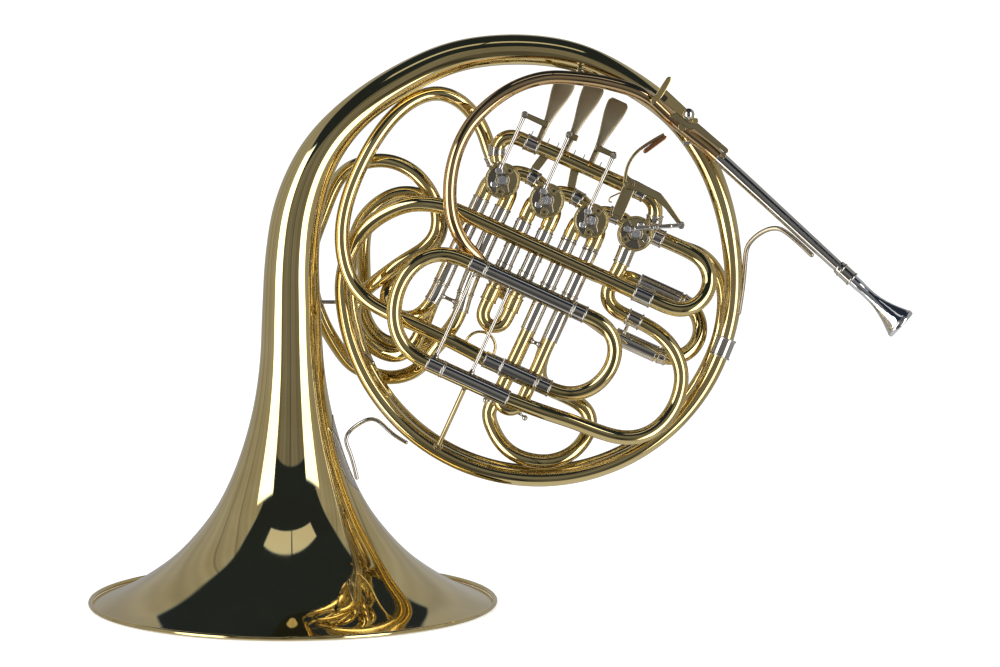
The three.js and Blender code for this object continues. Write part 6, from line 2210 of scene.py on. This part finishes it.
@dataclass
class FingerHook:
    """The finger hook on its base bar, and the ball screw that clamps it."""

    base: Table = ((668, 118), (677, 111.5), (696, 124), (728, 151.5), (725, 155), (692, 129.5), (689, 131.5))
    saddle: Table = ((657, 100), (664, 90.5), (694, 118.5), (688.5, 125.5))
    blade: Table = (
        (648.5, 103), (655, 96), (660, 87.5), (664.6, 80.8), (667.2, 78.8), (669.8, 80), (669.6, 83),
        (665, 91.5), (659.5, 100.5), (651, 107),
    )
    slot: Table = ((658.5, 100), (662.3, 95.6), (667, 99.6), (663.3, 104))
    block: Table = ((671.5, 119), (678.5, 111.5), (697, 126), (690.5, 132))
    screw: tuple[float, float] = (687.0, 116.0)
    nut: tuple[float, float] = (694.0, 122.5)
    feet: Table = ((681, 128.5, 3.0, -26.6), (722, 156, 2.2, -23.9))
    base_front: float = -31.2
    saddle_front: float = -33.5
    blade_front: float = -47.0
    blade_depth: float = 15.0
    ball_radius: float = 4.6

    def build(self, bench: Bench) -> None:
        """Makes base, hook and screw."""
        feet = []
        for column, row, radius, back in self.feet:
            front = self.base_front + 1
            feet.append(pin(radius, back - front, HORN.spot(column, row, front), BACK))
        block = cut(self.block, self.base_front + 0.4, 6.0, 1.5, 0.6)
        base = joined(cut(self.base, self.base_front, 2.0, 1.6), block, *feet)
        bench.piece("hook_base_bar", base, Finish.KHAKI, nodes=["hook_base"])
        hook = joined(
            cut(self.saddle, self.saddle_front, 2.0, 1.6),
            cut(self.blade, self.blade_front, self.blade_depth, 1.6, 0.6),
            pin(2.2, 2.5, HORN.spot(*self.nut, self.saddle_front - 2.4), BACK),
        )
        bench.piece("finger_hook_bent", hook, Finish.BRASS, "finger_hook", ["finger_hook"])
        # A thin near-black plate on the saddle stands for the slot: painted shade, not an opening.
        slot = cut(self.slot, self.saddle_front - 0.15, 0.5, 1.2, 0.1)
        bench.piece("finger_hook_slot", slot, Finish.BUMPER_AND_SHADE, "finger_hook")
        centre = HORN.spot(*self.screw, self.saddle_front - 1.5 - self.ball_radius)
        neck = turned([(1.6, 2.0), (2.6, 3.9), (2.9, 4.6), (1.6, 5.8)], centre, BACK, 24, 0.2)
        screw = joined(ball(self.ball_radius - 0.2, centre, 32), neck)
        bench.piece("hook_ball_screw", screw, Finish.NICKEL, "hook_screw", ["hook_screw"])


@dataclass
class Braces:
    """The bent wire braces with their flanged feet, and the small fittings on the ring."""

    lead_radius: float = 1.85
    bell_radius: float = 1.55
    lead: Table = (
        (812, 257, -1.95), (800, 245.5, -1.92), (788, 235, -1.9), (779, 229, -1.8), (769, 229, -1.4),
        (756, 236, -0.8), (747, 247, -0.2), (745, 262, -0.05), (743.5, 280, -0.05), (741, 298, -0.25),
        (738.2, 315, -0.4),
    )
    bell: Table = (
        (408, 443.5, 0), (395.5, 436, 0), (385.4, 427.5, 0), (379, 421, 0), (373, 418.6, 0),
        (367, 419.4, 0.1), (360, 423.2, 0.2), (351.7, 429, 0.4), (346.3, 435.5, 0.5), (345.6, 442.3, 0.6),
        (349.6, 452.1, 0.7), (353.8, 466.2, 0.8), (357, 480, 0.9),
    )
    spool_ends: Table = ((579.5, 58.0, -0.6), (579.5, 75.0, -2.4))
    block: Table = ((682.5, 141.6), (689.5, 141.6), (689.5, 145.6), (682.5, 145.6))
    stays: Sequence[Table] = (
        ((320, 302, 1.2), (336, 302, 1.2)),
        ((362, 351, 1.0), (374, 364, 0.6)),
    )

    def fittings(self) -> Shell:
        """The spool between the bell's tail and the loop, a solder block and two short stays at the left."""
        top, low = HORN.at(self.spool_ends)
        length = float(np.linalg.norm(low - top))
        profile = [
            (1.4, 0), (3.3, 0), (3.3, 1.6), (2.0, 3.0), (1.7, length / 2), (2.0, length - 3.0),
            (3.3, length - 1.6), (3.3, length), (1.4, length),
        ]
        stays = [wire(HORN.at(ends), 1.5) for ends in self.stays]
        return joined(turned(profile, top, low - top, 28, 0.5), cut(self.block, -17.0, 6.0, 0.8), *stays)

    def build(self, bench: Bench) -> None:
        """Makes both braces and the small fittings."""
        for name, route, radius, finish in (
            ("leadpipe_brace", self.lead, self.lead_radius, Finish.ARM),
            ("bell_brace", self.bell, self.bell_radius, Finish.NICKEL),
        ):
            bench.piece(f"{name}_wire", wire(HORN.at(route), radius, 20, 3.0), finish, nodes=[name])
        bench.piece("small_fittings", self.fittings(), Finish.NICKEL)


# Studio


@dataclass
class Studio:
    """A pale floor, a white room with darker gaps between its soft lights, and the camera."""

    aim: tuple[float, float] = (500.0, 333.5)
    distance: float = 4.5
    frame_width: float = 1000.0
    sensor: float = 36.0
    floor_size: float = 12.0
    floor_depth: float = 0.0006
    seams: tuple[float, ...] = (-96.0, -118.0, -3.0, 84.0, 128.0)
    waves: Table = ((0.62, 0.02), (0.23, 0.025))

    def camera(self, bench: Bench) -> None:
        """Puts the camera square to the ring, at the photograph's aim."""
        target = bench.world(HORN.spot(*self.aim))
        way = bench.turn @ BACK
        data = bpy.data.cameras.new("camera")
        data.sensor_width = self.sensor
        data.sensor_fit = "HORIZONTAL"
        data.lens = self.sensor * self.distance / (self.frame_width * HORN.pixel * MM)
        data.clip_end = 50.0
        camera = bpy.data.objects.new("camera", data)
        camera.location = Vector(target - way * self.distance)
        camera.rotation_euler = Vector(way).to_track_quat("-Z", "Y").to_euler()
        bpy.context.scene.collection.objects.link(camera)
        bpy.context.scene.camera = camera

    def world(self) -> None:
        """The room: white to the camera; to the metal, grey walls, two tall white lights and a dark ceiling.

        A light's azimuth is the angle from the camera's side towards the right, the arctangent of x over
        -y. The ceiling and its panel are rectangles in x over z and -y over z, as on a flat ceiling.
        """
        world = bpy.data.worlds.new("studio")
        bpy.context.scene.world = world
        world.use_nodes = True
        shader = Shader(world.node_tree)
        direction = shader.add("ShaderNodeTexCoord").outputs["Generated"]
        split = shader.add("ShaderNodeSeparateXYZ", None, {0: direction})
        x, y, z = (Field(shader, split.outputs[i]) for i in range(3))
        azimuth = shader.math("ARCTAN2", x, y * -1.0) * math.degrees(1.0)
        seams = sum((azimuth.band(spot - 1.2, spot + 1.2, 0.8) for spot in self.seams), 0.0)
        front_low = azimuth.band(-30.0, 26.0, 3.0) * (1 - z.step(-0.16, -0.06))
        walls = 0.38 - azimuth.band(-37.0, 31.0, 1.5) * 0.17 - front_low * 0.12
        walls = walls * (1 - seams * 0.35)
        for pace, height in self.waves:
            walls = walls + shader.math("SINE", azimuth * pace) * height
        left_light = azimuth.band(-67.0, -38.0, 1.0) * z.band(-0.6, 0.60, 0.02)
        right_light = azimuth.band(32.0, 58.0, 1.0) * z.band(-0.6, 0.54, 0.02)
        rise = z.larger(0.02)
        aside, ahead = shader.math("ABSOLUTE", x / rise), y / rise * -1.0
        reach = ahead.larger(0.0) * 0.36 + 0.8 - (ahead * -1.0).larger(0.0) * 0.22
        ceiling = (1 - (aside - reach).step(-0.03, 0.03)) * ahead.band(-1.3, 1.72, 0.03)
        slant = ahead - x / rise * 0.09
        panel = (1 - aside.step(0.43, 0.46)) * slant.band(0.33, 0.56, 0.012) * aside.step(0.006, 0.012)
        room = walls * (1 - ceiling) + ceiling * 0.027 + ceiling * panel * 0.68
        low = 1 - z.step(-0.74, -0.6)
        room = room.larger(left_light * 3.6).larger(right_light * 3.6).larger(low * 0.64)
        seen, glossy = shader.rays()
        other = (1 - glossy) * 0.75
        total = seen.larger((1 - seen) * (room * glossy + other))
        cool = ceiling * (1 - panel) * (1 - left_light.larger(right_light)) * glossy
        tint = shader.blend(cool, (1.0, 1.0, 1.0), (0.75, 1.05, 1.6))
        background = shader.add("ShaderNodeBackground", None, {"Color": tint, "Strength": total})
        shader.add("ShaderNodeOutputWorld", None, {"Surface": background.outputs[0]})

    def floor(self) -> None:
        """A pale floor: lit where the light reaches it, and lifted to white for the camera."""
        half = self.floor_size / 2
        mesh = bpy.data.meshes.new("floor")
        corners = [(x * half, y * half, -self.floor_depth) for x, y in ((-1, -1), (1, -1), (1, 1), (-1, 1))]
        mesh.from_pydata(corners, [], [(0, 1, 2, 3)])
        material = bpy.data.materials.new("pale floor")
        material.use_nodes = True
        shader = Shader(material.node_tree)
        matt = shader.add("ShaderNodeBsdfDiffuse", None, {"Color": (0.86, 0.86, 0.86)})
        seen, _ = shader.rays()
        glow = shader.add("ShaderNodeEmission", None, {"Color": (1.0, 1.0, 1.0), "Strength": seen * 0.45})
        both = shader.add("ShaderNodeAddShader", None, {0: matt.outputs[0], 1: glow.outputs[0]})
        shader.add("ShaderNodeOutputMaterial", None, {"Surface": both.outputs[0]})
        mesh.materials.append(material)
        floor = bpy.data.objects.new("floor", mesh)
        bpy.context.scene.collection.objects.link(floor)
        floor.visible_glossy = False

    def lamp(self, name: str, place: Sequence[float], size: float, power: float) -> None:
        """A soft square lamp aimed at the horn.

        Args:
            name: The lamp's name.
            place: Where it stands, in metres.
            size: The length of its side.
            power: Its power in watts.
        """
        data = bpy.data.lights.new(name, "AREA")
        data.shape = "SQUARE"
        data.size = size
        data.energy = power
        lamp = bpy.data.objects.new(name, data)
        lamp.location = Vector(place)
        aim = Vector((0.0, 0.0, 0.2)) - Vector(place)
        lamp.rotation_euler = aim.to_track_quat("-Z", "Y").to_euler()
        lamp.visible_glossy = False
        bpy.context.scene.collection.objects.link(lamp)

    def build(self, bench: Bench) -> None:
        """Sets the whole studio."""
        self.world()
        self.floor()
        self.lamp("key light", (-1.6, -2.2, 2.6), 1.2, 36.0)
        self.lamp("fill light", (2.2, -1.8, 1.6), 1.0, 14.0)
        self.camera(bench)
        bpy.context.scene.view_settings.view_transform = "Standard"


def dress_frame(frame: dict, bench: Bench) -> None:
    """Gives the frame's own nodes the finishes of their kind."""
    for name, node in frame["nodes"].items():
        brass = "rotor" in name
        node.data.materials.clear()
        node.data.materials.append(bench.made[Finish.BRASS if brass else Finish.NICKEL])


def main() -> None:
    """Builds the horn from its sub-assemblies, in order."""
    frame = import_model()
    bench = Bench()
    dress_frame(frame, bench)
    for assembly in (
        Bell(), RingTubing(), Crooks(), MainSlide(), FrontSlides(), ValveSlides(), Leadpipe(), Valves(),
        Linkage(), FingerLevers(), ThumbLever(), FingerHook(), Braces(),
    ):
        assembly.build(bench)
        log.info("%s done", type(assembly).__name__)
    Studio().build(bench)
    log.info("%d pieces", bench.count)


if __name__ == "__main__":
    main()
